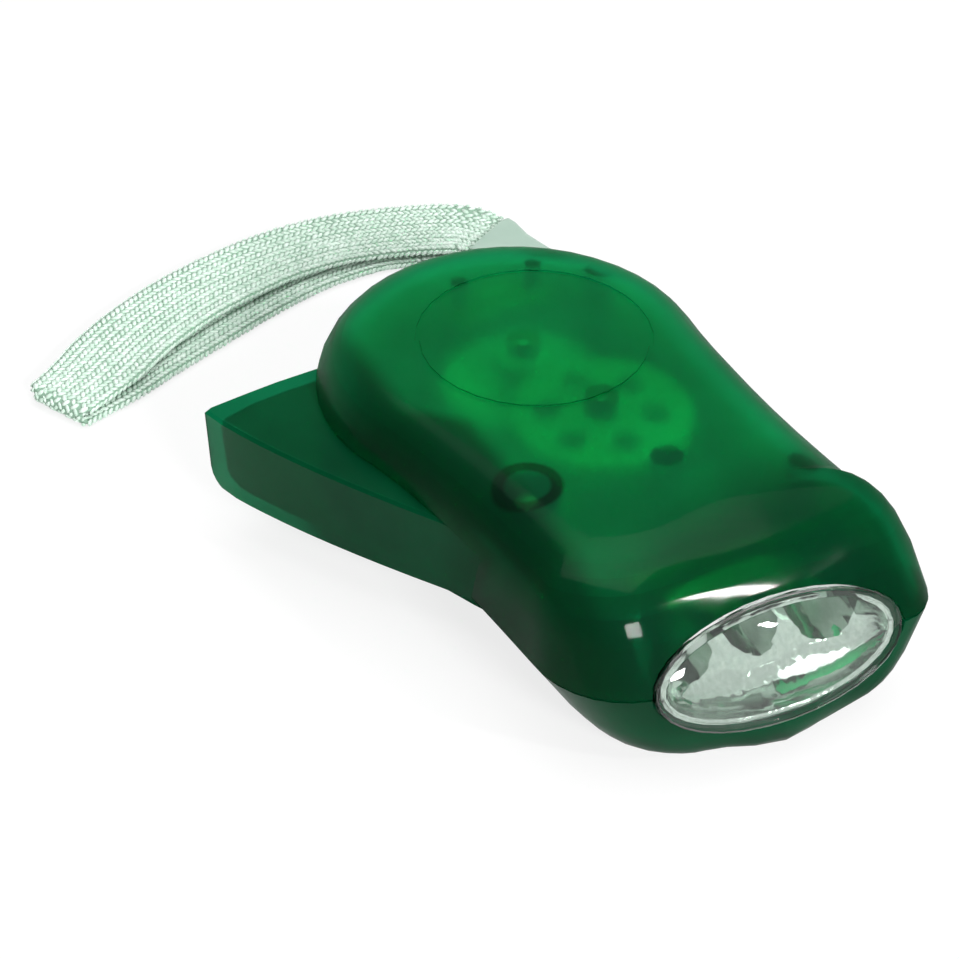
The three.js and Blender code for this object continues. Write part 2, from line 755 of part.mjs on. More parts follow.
function lowerShell() {
  const [legEnd, legRoot] = springRoute();
  const legStop = legEnd.clone().lerp(legRoot, LEG_STOP_SHARE);
  const bosses = [
    drum(PIVOT_X, PIVOT_Y, LOWER_BOSS_RADIUS, bossFoot, SLOT_LOW),
    drum(step.x, step.y, STEP_BOSS_RADIUS, bossFoot, PINION_LOW - SEAT_GAP),
    drum(rotor.x, rotor.y, ROTOR_BOSS_RADIUS, bossFoot, ROTOR_LOW - SEAT_GAP),
    ringed(rotor.x, rotor.y, STATOR_SEAT_IN, STATOR_SEAT_OUT, bossFoot, STATOR_LOW),
    drum(CELL_X, CELL_Y, CELL_SEAT_RADIUS, bossFoot, CELL_LOW),
    drum(
      legStop.x + STOP_PEG_RADIUS + WIRE_RADIUS + SEAT_GAP,
      legStop.y,
      STOP_PEG_RADIUS,
      bossFoot,
      HALF,
    ),
    ...screws.map((p) => drum(p.x, p.y, POST_LOWER_RADIUS, bossFoot, HALF)),
    ...[-1, 1].map((side) =>
      block(
        LAMP_BOARD_X + LAMP_BOARD_THICKNESS / 2,
        side * LEDGE_OFFSET,
        bossFoot,
        LAMP_BOARD_THICKNESS,
        LEDGE_WIDE,
        LAMP_BOARD_LOW - bossFoot,
      ),
    ),
  ];
  const inside = housingHalf(-1, WALL / 2, 0, INNER_ANGLES);
  const bores = [
    drum(PIVOT_X, PIVOT_Y, PIN_RADIUS + BORE_GAP, PIN_LOW, HALF),
    drum(step.x, step.y, AXLE_RADIUS + BORE_GAP, AXLE_LOW, HALF),
    drum(rotor.x, rotor.y, AXLE_RADIUS + BORE_GAP, AXLE_LOW, HALF),
    ...screws.map((p) => drum(p.x, p.y, SCREW_RADIUS + BORE_GAP, 0, THICKNESS)),
    ...screws.map((p) => drum(p.x, p.y, SCREW_HEAD_RADIUS + HEAD_FIT, -WALL, SCREW_SEAT)),
  ];
  return joined([
    outerLower.subtract(hollowLower).subtract(slot),
    eyelet().subtract(hollowLower),
    ...bosses.map((boss) => boss.intersect(inside)),
  ])
    .subtract(joined(bores))
    .subtract(lampBoardRoom)
    .subtract(lensBore)
    .subtract(reflectorBore);
}

function squeezeLever() {
  const inner = setInside(leverOutline, LEVER_EDGE);
  const rise = TIP_ROUND - LEVER_EDGE;
  const heights = LEVER_HEIGHT_SHARES.map((share) => leverLow + LEVER_EDGE + rise * share);
  const body = lofted([
    leverRing(inner, leverLow, leverLow + LEVER_EDGE / 2),
    ...heights.map((z) => leverRing(leverOutline, z, z)),
    leverRing(leverOutline, leverTop - LEVER_EDGE, leverTop),
    leverRing(inner, leverTop, leverTop),
  ]);
  const [start, control, end] = OUTER_SHARES.map(planPoint);
  const tipInside = TIP_X + LEVER_WALL + TIP_ROUND / 4;
  const shifted = new THREE.QuadraticBezierCurve(start, control, end)
    .getPoints(POCKET_STEPS)
    .slice(1)
    .map((p) => new THREE.Vector2(Math.max(p.x, tipInside), p.y + LEVER_WALL));
  const rear = REAR_SHARES.slice(2).map((share) => planPoint(share).add(new THREE.Vector2(LEVER_WALL, 0)));
  const reach = HUB_FLANGE_RADIUS + LEVER_WALL;
  const pocketPlan = [
    ...shifted,
    ...rear,
    new THREE.Vector2(rear.at(-1).x, rear.at(-1).y + reach),
    new THREE.Vector2(reach, rear.at(-1).y + reach),
    new THREE.Vector2(reach, -HUB_RADIUS + LEVER_WALL),
  ].reverse();
  const pocketLow = leverLow + LEVER_WALL;
  const pocketTop = leverTop - LEVER_WALL;
  const pocketHeights = POCKET_HEIGHT_SHARES.map((share) => pocketLow + TIP_ROUND * share);
  const springRoom = SPRING_RADIUS + WIRE_RADIUS + SPRING_ROOM;
  const pocket = lofted([
    ...pocketHeights.map((z) => leverRing(pocketPlan, z, z - LEVER_WALL)),
    leverRing(pocketPlan, pocketTop, pocketTop),
  ]).add(drum(0, 0, springRoom, pocketLow, pocketTop - SECTOR_THICKNESS, FINE));
  const hub = joined([
    drum(0, 0, NECK_RADIUS, leverLow, leverTop, FINE),
    drum(0, 0, HUB_RADIUS - HUB_STEP, pocketTop - SECTOR_THICKNESS, leverTop, FINE),
    drum(LEG_POST_X, LEG_POST_Y, STOP_PEG_RADIUS, leverLow, pocketTop - SECTOR_THICKNESS - SEAT_GAP),
  ]);
  const flange = drum(0, 0, HUB_FLANGE_RADIUS, pocketTop, leverTop, FINE);
  return placedLever(
    body
      .subtract(pocket)
      .add(hub)
      .add(flange)
      .subtract(drum(0, 0, PIN_RADIUS + RUNNING_GAP, 0, THICKNESS)),
  );
}

// Angle from a tooth's middle to its flank at a radius.
function flankAngle(module, teeth, radius) {
  const pitch = (module * teeth) / 2;
  const base = pitch * Math.cos(radians(PRESSURE_ANGLE));
  const involute = (r) => {
    const angle = Math.acos(Math.min(base / Math.max(r, base), 1));
    return Math.tan(angle) - angle;
  };
  return Math.PI / (2 * teeth) - FLANK_GAP / pitch + involute(pitch) - involute(radius);
}

// Points of one tooth about a middle angle in radians, clockwise side first.
function tooth(module, teeth, middle) {
  const pitch = (module * teeth) / 2;
  const root = pitch - DEDENDUM_SHARE * module;
  const tip = pitch + ADDENDUM_SHARE * module;
  const between = [lerp(root, pitch, TOOTH_RISE_SHARES[0]), lerp(pitch, tip, TOOTH_RISE_SHARES[1])];
  const rise = teeth === WHEEL_TEETH ? [root, pitch, tip] : [root, ...between, tip];
  const points = (radii, side) =>
    radii.map((r) => {
      const angle = middle + side * flankAngle(module, teeth, r);
      return new THREE.Vector2(r * Math.cos(angle), r * Math.sin(angle));
    });
  return [...points(rise, -1), ...points(rise.slice().reverse(), 1)];
}

function gearPlan(module, teeth, firstDegrees) {
  const pitch = (2 * Math.PI) / teeth;
  const first = radians(firstDegrees);
  return Array.from({ length: teeth }, (_, i) => tooth(module, teeth, first + pitch * i)).flat();
}

// The toothed sector spans its seven cut teeth and joins a collar round the lever's hub.
function sectorGear() {
  const pitch = 360 / SECTOR_TEETH;
  const first = STEP_ANGLE - pitch;
  const last = first + pitch * (SECTOR_CUT_TEETH - 1);
  const teeth = Array.from({ length: SECTOR_CUT_TEETH }, (_, i) =>
    tooth(SECTOR_MODULE, SECTOR_TEETH, radians(first + pitch * i)),
  ).flat();
  const inner = HUB_RADIUS - HUB_STEP + BORE_GAP;
  const root = (SECTOR_MODULE * SECTOR_TEETH) / 2 - DEDENDUM_SHARE * SECTOR_MODULE;
  const arc = (radius, start, end, steps) =>
    Array.from({ length: steps + 1 }, (_, i) => polar(0, 0, radius, lerp(start, end, i / steps)));
  const edge = pitch / 2;
  const collar = [
    ...arc(inner, OPEN_ANGLE + COLLAR_END_ANGLE, OPEN_ANGLE + COLLAR_START_ANGLE, 8),
    ...arc(HUB_FLANGE_RADIUS, OPEN_ANGLE + COLLAR_START_ANGLE, OPEN_ANGLE + COLLAR_END_ANGLE, 8),
  ];
  const web = [
    polar(0, 0, root, first - edge),
    ...teeth,
    polar(0, 0, root, last + edge),
    ...arc(inner, last + edge, first - edge, 4),
  ];
  const window = [
    ...arc(root - SECTOR_RIM, first + edge, last - edge, 6),
    ...arc(HUB_FLANGE_RADIUS + SECTOR_SPOKE, last - edge, first + edge, 3),
  ];
  const top = leverTop - LEVER_WALL;
  const low = top - SECTOR_THICKNESS;
  return raised(web, low, top)
    .add(raised(collar.reverse(), low, top))
    .subtract(raised(window, low - WALL, top + WALL))
    .translate([PIVOT_X, PIVOT_Y, 0]);
}

function stepPinion() {
  const facing = STEP_ANGLE + 180 + 180 / PINION_TEETH;
  return raised(gearPlan(SECTOR_MODULE, PINION_TEETH, facing), PINION_LOW, WHEEL_LOW)
    .add(drum(0, 0, WHEEL_HUB_RADIUS, PINION_LOW, WHEEL_LOW + WHEEL_THICKNESS))
    .subtract(drum(0, 0, AXLE_RADIUS + RUNNING_GAP, 0, THICKNESS))
    .translate([step.x, step.y, 0]);
}

function stepWheel() {
  const top = WHEEL_LOW + WHEEL_THICKNESS;
  const windows = Array.from({ length: WHEEL_WINDOWS }, (_, i) => {
    const p = polar(0, 0, WHEEL_WINDOW_OFFSET, (360 * i) / WHEEL_WINDOWS);
    return drum(p.x, p.y, WHEEL_WINDOW_RADIUS, 0, THICKNESS, 12);
  });
  return raised(gearPlan(WHEEL_MODULE, WHEEL_TEETH, ROTOR_ANGLE), WHEEL_LOW, top)
    .subtract(joined(windows))
    .subtract(drum(0, 0, WHEEL_HUB_RADIUS + BORE_GAP, 0, THICKNESS))
    .translate([step.x, step.y, 0]);
}

function rotorPinion() {
  const facing = ROTOR_ANGLE + 180 + 180 / ROTOR_TEETH;
  return raised(gearPlan(WHEEL_MODULE, ROTOR_TEETH, facing), ROTOR_PINION_LOW, ROTOR_PINION_TOP)
    .subtract(drum(0, 0, AXLE_RADIUS + RUNNING_GAP, 0, THICKNESS))
    .translate([rotor.x, rotor.y, 0]);
}

function flywheel() {
  const bore = AXLE_RADIUS + RUNNING_GAP;
  const floor = FLYWHEEL_LOW + FLYWHEEL_DISH;
  const profile = [
    [bore, ROTOR_LOW],
    [MAGNET_SLEEVE, ROTOR_LOW],
    [MAGNET_SLEEVE, MAGNET_TOP],
    [MAGNET_SHOULDER, MAGNET_TOP],
    [MAGNET_SHOULDER, FLYWHEEL_LOW],
    [FLYWHEEL_RADIUS, FLYWHEEL_LOW],
    [FLYWHEEL_RADIUS, FLYWHEEL_TOP],
    [FLYWHEEL_RADIUS - FLYWHEEL_RIM, FLYWHEEL_TOP],
    [FLYWHEEL_RADIUS - FLYWHEEL_RIM, floor],
    [FLYWHEEL_HUB_RADIUS, floor],
    [FLYWHEEL_HUB_RADIUS, ROTOR_PINION_LOW],
    [bore, ROTOR_PINION_LOW],
    [bore, ROTOR_LOW],
  ];
  return turned(profile, rotor.x, rotor.y, FINE);
}

const pin = (x, y, radius, low, top) => drum(x, y, radius, low, top);

// A claw of the stator: narrows away from its plate.
function claw(middle, from, to) {
  const ring = (half, z) => [
    [STATOR_BORE, -1],
    [STATOR_BORE + CLAW_THICKNESS, -1],
    [STATOR_BORE + CLAW_THICKNESS, 1],
    [STATOR_BORE, 1],
  ].map(([radius, side]) => {
    const p = polar(rotor.x, rotor.y, radius, middle + side * half);
    return new THREE.Vector3(p.x, p.y, z);
  });
  return lofted([ring(CLAW_ROOT_ANGLE, from), ring(CLAW_END_ANGLE, to)]);
}

const clawStep = 360 / CLAW_COUNT;

function statorLower() {
  const top = STATOR_TOP - STATOR_PLATE;
  const plate = STATOR_LOW + STATOR_PLATE;
  const base = ringed(rotor.x, rotor.y, STATOR_BORE, STATOR_RADIUS, STATOR_LOW, plate);
  const wall = ringed(rotor.x, rotor.y, STATOR_RADIUS - STATOR_PLATE, STATOR_RADIUS, STATOR_LOW, top);
  const claws = Array.from({ length: CLAW_COUNT }, (_, i) =>
    claw(i * clawStep, plate - STATOR_PLATE / 2, plate + CLAW_REACH),
  );
  return joined([base, wall, ...claws]);
}

function statorUpper() {
  const low = STATOR_TOP - STATOR_PLATE;
  const plate = ringed(rotor.x, rotor.y, STATOR_BORE, STATOR_RADIUS, low, STATOR_TOP);
  const claws = Array.from({ length: CLAW_COUNT }, (_, i) =>
    claw((i + 0.5) * clawStep, low + STATOR_PLATE / 2, low - CLAW_REACH),
  );
  return joined([plate, ...claws]);
}

const bobbinInner = STATOR_BORE + CLAW_THICKNESS + BOBBIN_GAP;
const bobbinOuter = STATOR_RADIUS - STATOR_PLATE - BOBBIN_GAP;
const bobbinLow = STATOR_LOW + STATOR_PLATE;
const bobbinTop = STATOR_TOP - STATOR_PLATE;

function coilBobbin() {
  const core = bobbinInner + BOBBIN_WALL;
  const profile = [
    [bobbinInner, bobbinLow],
    [bobbinOuter, bobbinLow],
    [bobbinOuter, bobbinLow + BOBBIN_WALL],
    [core, bobbinLow + BOBBIN_WALL],
    [core, bobbinTop - BOBBIN_WALL],
    [bobbinOuter, bobbinTop - BOBBIN_WALL],
    [bobbinOuter, bobbinTop],
    [bobbinInner, bobbinTop],
    [bobbinInner, bobbinLow],
  ];
  return turned(profile, rotor.x, rotor.y, FINE);
}

function statorCoil() {
  return ringed(
    rotor.x,
    rotor.y,
    bobbinInner + BOBBIN_WALL + BORE_GAP,
    bobbinOuter - BOBBIN_WALL / 2,
    bobbinLow + BOBBIN_WALL,
    bobbinTop - BOBBIN_WALL,
  );
}

// Reflector: a tapering body with a shallow bowl and three round cups.
function reflector() {
  const front = lensRing(reflectorWide, reflectorTall, LENS_BACK);
  const middle = lensRing(reflectorWide - REFLECTOR_RIM, reflectorTall, LENS_BACK - BOWL_DEPTH / 2);
  const rear = Array.from({ length: FINE }, (_, i) => {
    const turn = (2 * Math.PI * i) / FINE;
    return new THREE.Vector3(
      REFLECTOR_REAR_X,
      REFLECTOR_REAR_WIDE * Math.cos(turn),
      LAMP_Z + REFLECTOR_REAR_TALL * Math.sin(turn),
    );
  });
  const bowl = lofted(
    [
      lensRing(reflectorWide - REFLECTOR_RIM, reflectorTall - REFLECTOR_RIM, LENS_BACK + WALL),
      ...BOWL_DEPTH_SHARES.map((share) => {
        const narrow = Math.sqrt(1 - share ** 2);
        const wide = (reflectorWide - REFLECTOR_RIM) * narrow;
        const tall = (reflectorTall - REFLECTOR_RIM) * narrow;
        return lensRing(wide, tall, LENS_BACK - BOWL_DEPTH * share);
      }),
    ],
  );
  const cups = [-1, 0, 1].map((side) => {
    const ring = (radius, x) =>
      Array.from({ length: COARSE }, (_, i) => {
        const turn = (2 * Math.PI * i) / COARSE;
        return new THREE.Vector3(
          x,
          side * lampSpacing + radius * Math.cos(turn),
          LAMP_Z + radius * Math.sin(turn),
        );
      });
    const start = REFLECTOR_REAR_X - WALL;
    return lofted(
      CUP_LENGTH_SHARES.map((share, i) =>
        ring(lerp(CUP_REAR_RADIUS, CUP_FRONT_RADIUS, CUP_WIDTH_SHARES[i]), start + share * CUP_LENGTH),
      ),
    );
  });
  return lofted([rear, middle, front]).subtract(bowl).subtract(joined(cups));
}

function lens() {
  const inner = 1 - LENS_RIM / LENS_TALL;
  const clearWide = LENS_WIDE - LENS_RIM;
  const clearTall = LENS_TALL - LENS_RIM;
  const crownLow = lerp(LENS_FRONT, LENS_CROWN, LENS_CROWN_HEIGHT_SHARE);
  const dome = lofted([
    lensRing(LENS_WIDE, LENS_TALL, LENS_BACK),
    lensRing(LENS_WIDE, LENS_TALL, LENS_FRONT - LENS_HOLLOW),
    lensRing(LENS_WIDE - LENS_HOLLOW, LENS_TALL - LENS_HOLLOW, LENS_FRONT),
    lensRing(clearWide, clearTall, LENS_FRONT),
    lensRing(clearWide, clearTall, LENS_FRONT - LENS_HOLLOW),
    lensRing(clearWide * inner, clearTall * inner, crownLow),
    lensRing(clearWide * LENS_CROWN_WIDTH_SHARE, clearTall * LENS_CROWN_WIDTH_SHARE, LENS_CROWN),
  ]);
  return dome;
}

function lamp(side) {
  const front = LAMP_LENGTH - LAMP_RADIUS;
  const cap = Array.from({ length: LAMP_CAP_STEPS }, (_, i) => {
    const angle = radians((90 * (i + 1)) / LAMP_CAP_STEPS);
    return [LAMP_RADIUS * Math.cos(angle), front + LAMP_RADIUS * Math.sin(angle)];
  });
  cap[cap.length - 1][0] = 0;
  const profile = [
    [0, 0],
    [LAMP_FLANGE_RADIUS, 0],
    [LAMP_FLANGE_RADIUS, LAMP_FLANGE],
    [LAMP_RADIUS, LAMP_FLANGE],
    [LAMP_RADIUS, front],
    ...cap,
  ];
  return turned(profile, 0, 0)
    .rotate([0, 90, 0])
    .translate([LAMP_BOARD_X + LAMP_BOARD_THICKNESS, side * lampSpacing, LAMP_Z]);
}

function lampBoard() {
  return block(
    LAMP_BOARD_X + LAMP_BOARD_THICKNESS / 2,
    0,
    LAMP_BOARD_LOW,
    LAMP_BOARD_THICKNESS,
    LAMP_BOARD_WIDE,
    LAMP_BOARD_TALL,
  );
}

function chargeBoard() {
  const chipLow = BOARD_LOW + BOARD_THICKNESS;
  return block(BOARD_X, BOARD_Y, BOARD_LOW, BOARD_WIDE, BOARD_LONG, BOARD_THICKNESS).add(
    block(BOARD_X, BOARD_Y, chipLow, CHIP_WIDE, CHIP_LONG, CHIP_TALL),
  );
}

function chargeCell() {
  const profile = [[0, CELL_LOW]];
  for (let i = 0; i < CELL_COUNT; i += 1) {
    const low = CELL_LOW + i * CELL_TALL;
    const top = low + CELL_TALL;
    profile.push(
      [CELL_RADIUS - CELL_GROOVE, low],
      [CELL_RADIUS, low + CELL_GROOVE],
      [CELL_RADIUS, top - CELL_GROOVE],
      [CELL_RADIUS - CELL_GROOVE, top],
    );
  }
  profile.push([0, CELL_LOW + CELL_COUNT * CELL_TALL]);
  const clean = profile.filter((p, i) => i === 0 || p[0] !== profile[i - 1][0] || p[1] !== profile[i - 1][1]);
  return turned(clean, CELL_X, CELL_Y, 24);
}

function screw(p) {
  const low = SCREW_SEAT - SCREW_HEAD;
  const slotLength = SLOT_LENGTH_SHARE * SCREW_RADIUS;
  const slots = [0, 90].map((angle) =>
    block(0, 0, low - SCREW_SLOT_DEPTH, slotLength, SCREW_SLOT, 2 * SCREW_SLOT_DEPTH).rotate([0, 0, angle]),
  );
  return drum(0, 0, SCREW_HEAD_RADIUS, low, SCREW_SEAT)
    .add(drum(0, 0, SCREW_RADIUS, low, SCREW_TOP))
    .subtract(joined(slots))
    .translate([p.x, p.y, 0]);
}

// A round section swept along a route by an extrusion.
function tube(route, radius, sides, steps) {
  const section = new THREE.Shape(
    Array.from({ length: sides }, (_, i) => {
      const turn = (2 * Math.PI * i) / sides;
      return new THREE.Vector2(radius * Math.cos(turn), radius * Math.sin(turn));
    }),
  );
  return solid(new THREE.ExtrudeGeometry(section, { steps, bevelEnabled: false, extrudePath: route }));
}

// Least space between parts of a route that lie more than a given number of points apart.
function leastGap(points, apart, thickness) {
  let least = Infinity;
  points.forEach((p, i) => {
    points.slice(i + apart).forEach((q) => {
      least = Math.min(least, p.distanceTo(q));
    });
  });
  return least - thickness;
}

function springRoute() {
  const sides = COIL_SIDES;
  const total = SPRING_TURNS * sides + SPRING_EXTRA_STEPS;
  const coil = Array.from({ length: total + 1 }, (_, i) => {
    const p = polar(PIVOT_X, PIVOT_Y, SPRING_RADIUS, SPRING_START_ANGLE + (360 * i) / sides);
    return new THREE.Vector3(p.x, p.y, SPRING_LOW + WIRE_RADIUS + (SPRING_PITCH * i) / sides);
  });
  const leg = (end, angle) => {
    const reach = polar(end.x, end.y, SPRING_LEG_LENGTH, angle);
    return new THREE.Vector3(reach.x, reach.y, end.z);
  };
  const endAngle = SPRING_START_ANGLE + (360 * total) / sides;
  return [leg(coil[0], SPRING_START_ANGLE - 90), ...coil, leg(coil[total], endAngle + 90)];
}

function leverSpring() {
  const points = springRoute();
  console.log("spring gap", leastGap(points.slice(1, -1), WIRE_SIDES, 2 * WIRE_RADIUS).toFixed(2));
  const rings = points.map((p, i) => {
    const before = points[Math.max(i - 1, 0)];
    const after = points[Math.min(i + 1, points.length - 1)];
    const along = after.clone().sub(before).normalize();
    const side = along.clone().cross(UP).normalize();
    const rise = side.clone().cross(along).normalize();
    return Array.from({ length: WIRE_SIDES }, (_, k) => {
      const turn = (2 * Math.PI * k) / WIRE_SIDES;
      return p
        .clone()
        .addScaledVector(side, WIRE_RADIUS * Math.cos(turn))
        .addScaledVector(rise, WIRE_RADIUS * Math.sin(turn));
    });
  });
  return lofted(rings);
}

// The folded webbing: one ribbon out along the floor, over a fold and back on top of itself.
const strapLow = STRAP_THICKNESS / 2;
const strapRise = STRAP_THICKNESS + STRAP_SPACE;
const ferruleStart = planPoint(FERRULE_START_SHARES);
const ferruleEnd = planPoint(FERRULE_END_SHARES);
const ferruleAlong = ferruleEnd.clone().sub(ferruleStart).normalize();

function strapRings() {
  const seat = [STRAP_SEAT, STRAP_LEAD].map((reach) =>
    ferruleStart.clone().addScaledVector(ferruleAlong, -reach),
  );
  const lower = [...seat, ...STRAP_LOWER_SHARES.map(planPoint)];
  const upper = [...STRAP_UPPER_SHARES.map(planPoint), ...seat.slice().reverse()];
  const flatCurve = (points) => new THREE.SplineCurve(points);
  const [foldLower, foldUpper] = STRAP_FOLD_SHARES.map(planPoint);
  const out = flatCurve([...lower, foldLower]);
  const back = flatCurve([foldUpper, ...upper]);
  const rings = [];
  const section = (centre, across, normal, share) => {
    const pinched = lerp(FERRULE_WIDE, STRAP_WIDE, smooth(share, 0, STRAP_PINCH_SHARE));
    const half = lerp(pinched, STRAP_FOLD_WIDE, smooth(share, STRAP_TAPER_SHARE, 1)) / 2;
    const thick = STRAP_THICKNESS / 2;
    return STRAP_EDGE_SHARES.map(([a, n]) =>
      centre
        .clone()
        .addScaledVector(across, a * half)
        .addScaledVector(normal, n * thick),
    );
  };
  const steps = STRAP_STEPS;
  const place = (curve, share, z) => {
    const p = curve.getPointAt(share);
    const t = curve.getTangentAt(share);
    return [new THREE.Vector3(p.x, p.y, z), new THREE.Vector3(t.x, t.y, 0)];
  };
  for (let i = 0; i <= steps; i += 1) {
    const [centre, along] = place(out, i / steps, strapLow);
    rings.push(section(centre, new THREE.Vector3(-along.y, along.x, 0), UP, i / steps));
  }
  const [endLow, alongLow] = place(out, 1, strapLow);
  const [endHigh, alongHigh] = place(back, 0, strapLow + strapRise);
  const turns = FOLD_STEPS;
  for (let i = 1; i < turns; i += 1) {
    const turn = (Math.PI * i) / turns;
    const share = i / turns;
    const along = alongLow.clone().lerp(alongHigh.clone().negate(), share).normalize();
    const centre = endLow.clone().lerp(endHigh, share);
    centre.z = strapLow + (strapRise / 2) * (1 - Math.cos(turn));
    centre.addScaledVector(along, (strapRise / 2) * Math.sin(turn));
    const normal = UP.clone().multiplyScalar(Math.cos(turn)).addScaledVector(along, -Math.sin(turn));
    rings.push(section(centre, new THREE.Vector3(-along.y, along.x, 0), normal, 1));
  }
  for (let i = 0; i <= steps; i += 1) {
    const [centre, along] = place(back, i / steps, strapLow + strapRise);
    rings.push(section(centre, new THREE.Vector3(along.y, -along.x, 0), UP.clone().negate(), 1 - i / steps));
  }
  return rings;
}

function ferrule() {
  const across = new THREE.Vector3(-ferruleAlong.y, ferruleAlong.x, 0);
  const rings = FERRULE_LENGTH_SHARES.map((share, i) => {
    const narrowing = FERRULE_NARROWING_SHARES[i];
    const wide = lerp(FERRULE_WIDE / 2, FERRULE_NARROW / 2, narrowing);
    const tall = lerp(FERRULE_TALL / 2, FERRULE_NARROW / 2, narrowing);
    const p = ferruleStart.clone().lerp(ferruleEnd, share);
    const boxy = lerp(FERRULE_BOXY_SHARE, 1, share);
    return Array.from({ length: COARSE }, (_, k) => {
      const turn = (2 * Math.PI * (k + 0.5)) / COARSE;
      const c = Math.cos(turn);
      const s = Math.sin(turn);
      return new THREE.Vector3(p.x, p.y, FERRULE_TALL / 2)
        .addScaledVector(across, wide * Math.sign(c) * Math.abs(c) ** boxy)
        .addScaledVector(UP, tall * Math.sign(s) * Math.abs(s) ** boxy);
    });
  });
  return lofted(rings);
}

const wire = (shares) =>
  tube(new THREE.CatmullRomCurve3(shares.map(spacePoint)), WIRING_RADIUS, WIRING_SIDES, 3 * shares.length);

const GREEN = 0x0a6b3a;
const looks = {
  shell: { color: GREEN, roughness: 0.12, metalness: 0, transparent: true, opacity: 0.75 },
  lever: { color: 0x085830, roughness: 0.2, metalness: 0 },
  steel: { color: 0xb9bcc0, roughness: 0.25, metalness: 1 },
  iron: { color: 0x777a7d, roughness: 0.45, metalness: 1 },
  gear: { color: 0xe6e6dd, roughness: 0.5, metalness: 0 },
  magnet: { color: 0x2d2d30, roughness: 0.6, metalness: 0.3 },
  bobbin: { color: 0x1b1b1c, roughness: 0.5, metalness: 0 },
  copper: { color: 0xb4622d, roughness: 0.35, metalness: 1 },
  board: { color: 0x1f5a34, roughness: 0.6, metalness: 0 },
  cell: { color: 0x24272c, roughness: 0.4, metalness: 0 },
  clear: { color: 0xe8f2ee, roughness: 0.05, metalness: 0, transparent: true, opacity: 0.4 },
  silver: { color: 0xdedede, roughness: 0.08, metalness: 1 },
  webbing: { color: 0xc2cfc4, roughness: 0.85, metalness: 0 },
  ferrule: { color: 0xa9b8ad, roughness: 0.4, metalness: 0 },
  wire: { color: 0x8a1f1f, roughness: 0.5, metalness: 0 },
};

const group = new THREE.Group();

function place(name, made, look) {
  const mesh = made.getMesh();
  const stride = mesh.numProp;
  const position = new Float32Array(mesh.numVert * 3);
  for (let i = 0; i < mesh.numVert; i += 1) {
    position.set(mesh.vertProperties.subarray(i * stride, i * stride + 3), i * 3);
  }
  const geometry = new THREE.BufferGeometry();
  geometry.setAttribute("position", new THREE.BufferAttribute(position, 3));
  geometry.setIndex(new THREE.BufferAttribute(new Uint32Array(mesh.triVerts), 1));
  geometry.computeVertexNormals();
  const material = new THREE.MeshStandardMaterial({ ...looks[look], flatShading: true });
  const placed = new THREE.Mesh(geometry, material);
  placed.name = name;
  group.add(placed);
}

place("upper_shell", upperShell(), "shell");
place("lower_shell", lowerShell(), "shell");
place("squeeze_lever", squeezeLever(), "lever");
place("sector_gear", sectorGear(), "gear");
place("pivot_pin", pin(PIVOT_X, PIVOT_Y, PIN_RADIUS, PIN_LOW, PIN_TOP), "steel");
place("lever_spring", leverSpring(), "steel");
place("step_pinion", stepPinion(), "gear");
place("step_wheel", stepWheel(), "gear");
place("step_axle", pin(step.x, step.y, AXLE_RADIUS, AXLE_LOW, AXLE_TOP), "steel");
place("rotor_pinion", rotorPinion(), "gear");
place("flywheel", flywheel(), "iron");
place(
  "ring_magnet",
  ringed(rotor.x, rotor.y, MAGNET_SLEEVE + BORE_GAP, MAGNET_RADIUS, ROTOR_LOW, MAGNET_TOP),
  "magnet",
);
place("rotor_axle", pin(rotor.x, rotor.y, AXLE_RADIUS, AXLE_LOW, AXLE_TOP), "steel");
place("stator_lower", statorLower(), "iron");
place("stator_upper", statorUpper(), "iron");
place("coil_bobbin", coilBobbin(), "bobbin");
place("stator_coil", statorCoil(), "copper");
place("lens", lens(), "clear");
place("reflector", reflector(), "silver");
["left", "middle", "right"].forEach((word, i) => place("lamp_" + word, lamp(i - 1), "clear"));
place("lamp_board", lampBoard(), "board");
place("charge_board", chargeBoard(), "board");
place("charge_cell", chargeCell(), "cell");
["middle", "rear", "front"].forEach((word, i) => place("screw_" + word, screw(screws[i]), "steel"));
place("lamp_wire", wire(LAMP_WIRE_SHARES), "wire");
place("lamp_return_wire", wire(LAMP_RETURN_SHARES), "bobbin");
place("coil_wire", wire(COIL_WIRE_SHARES), "copper");
place("strap", lofted(strapRings()), "webbing");
place("ferrule", ferrule(), "ferrule");
const cordRoute = new THREE.CatmullRomCurve3(CORD_SHARES.map(spacePoint), false, "centripetal");
place("cord", tube(cordRoute, CORD_RADIUS, CORD_SIDES, CORD_STEPS), "webbing");

export default group;
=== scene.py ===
"""A squeeze-lever hand torch in translucent green plastic, with its braided wrist strap.

It lies on a white table. Lengths are in metres, in the frame of the CAD solids.
"""

import math

import bmesh
import bpy
from mathutils import Matrix, Vector


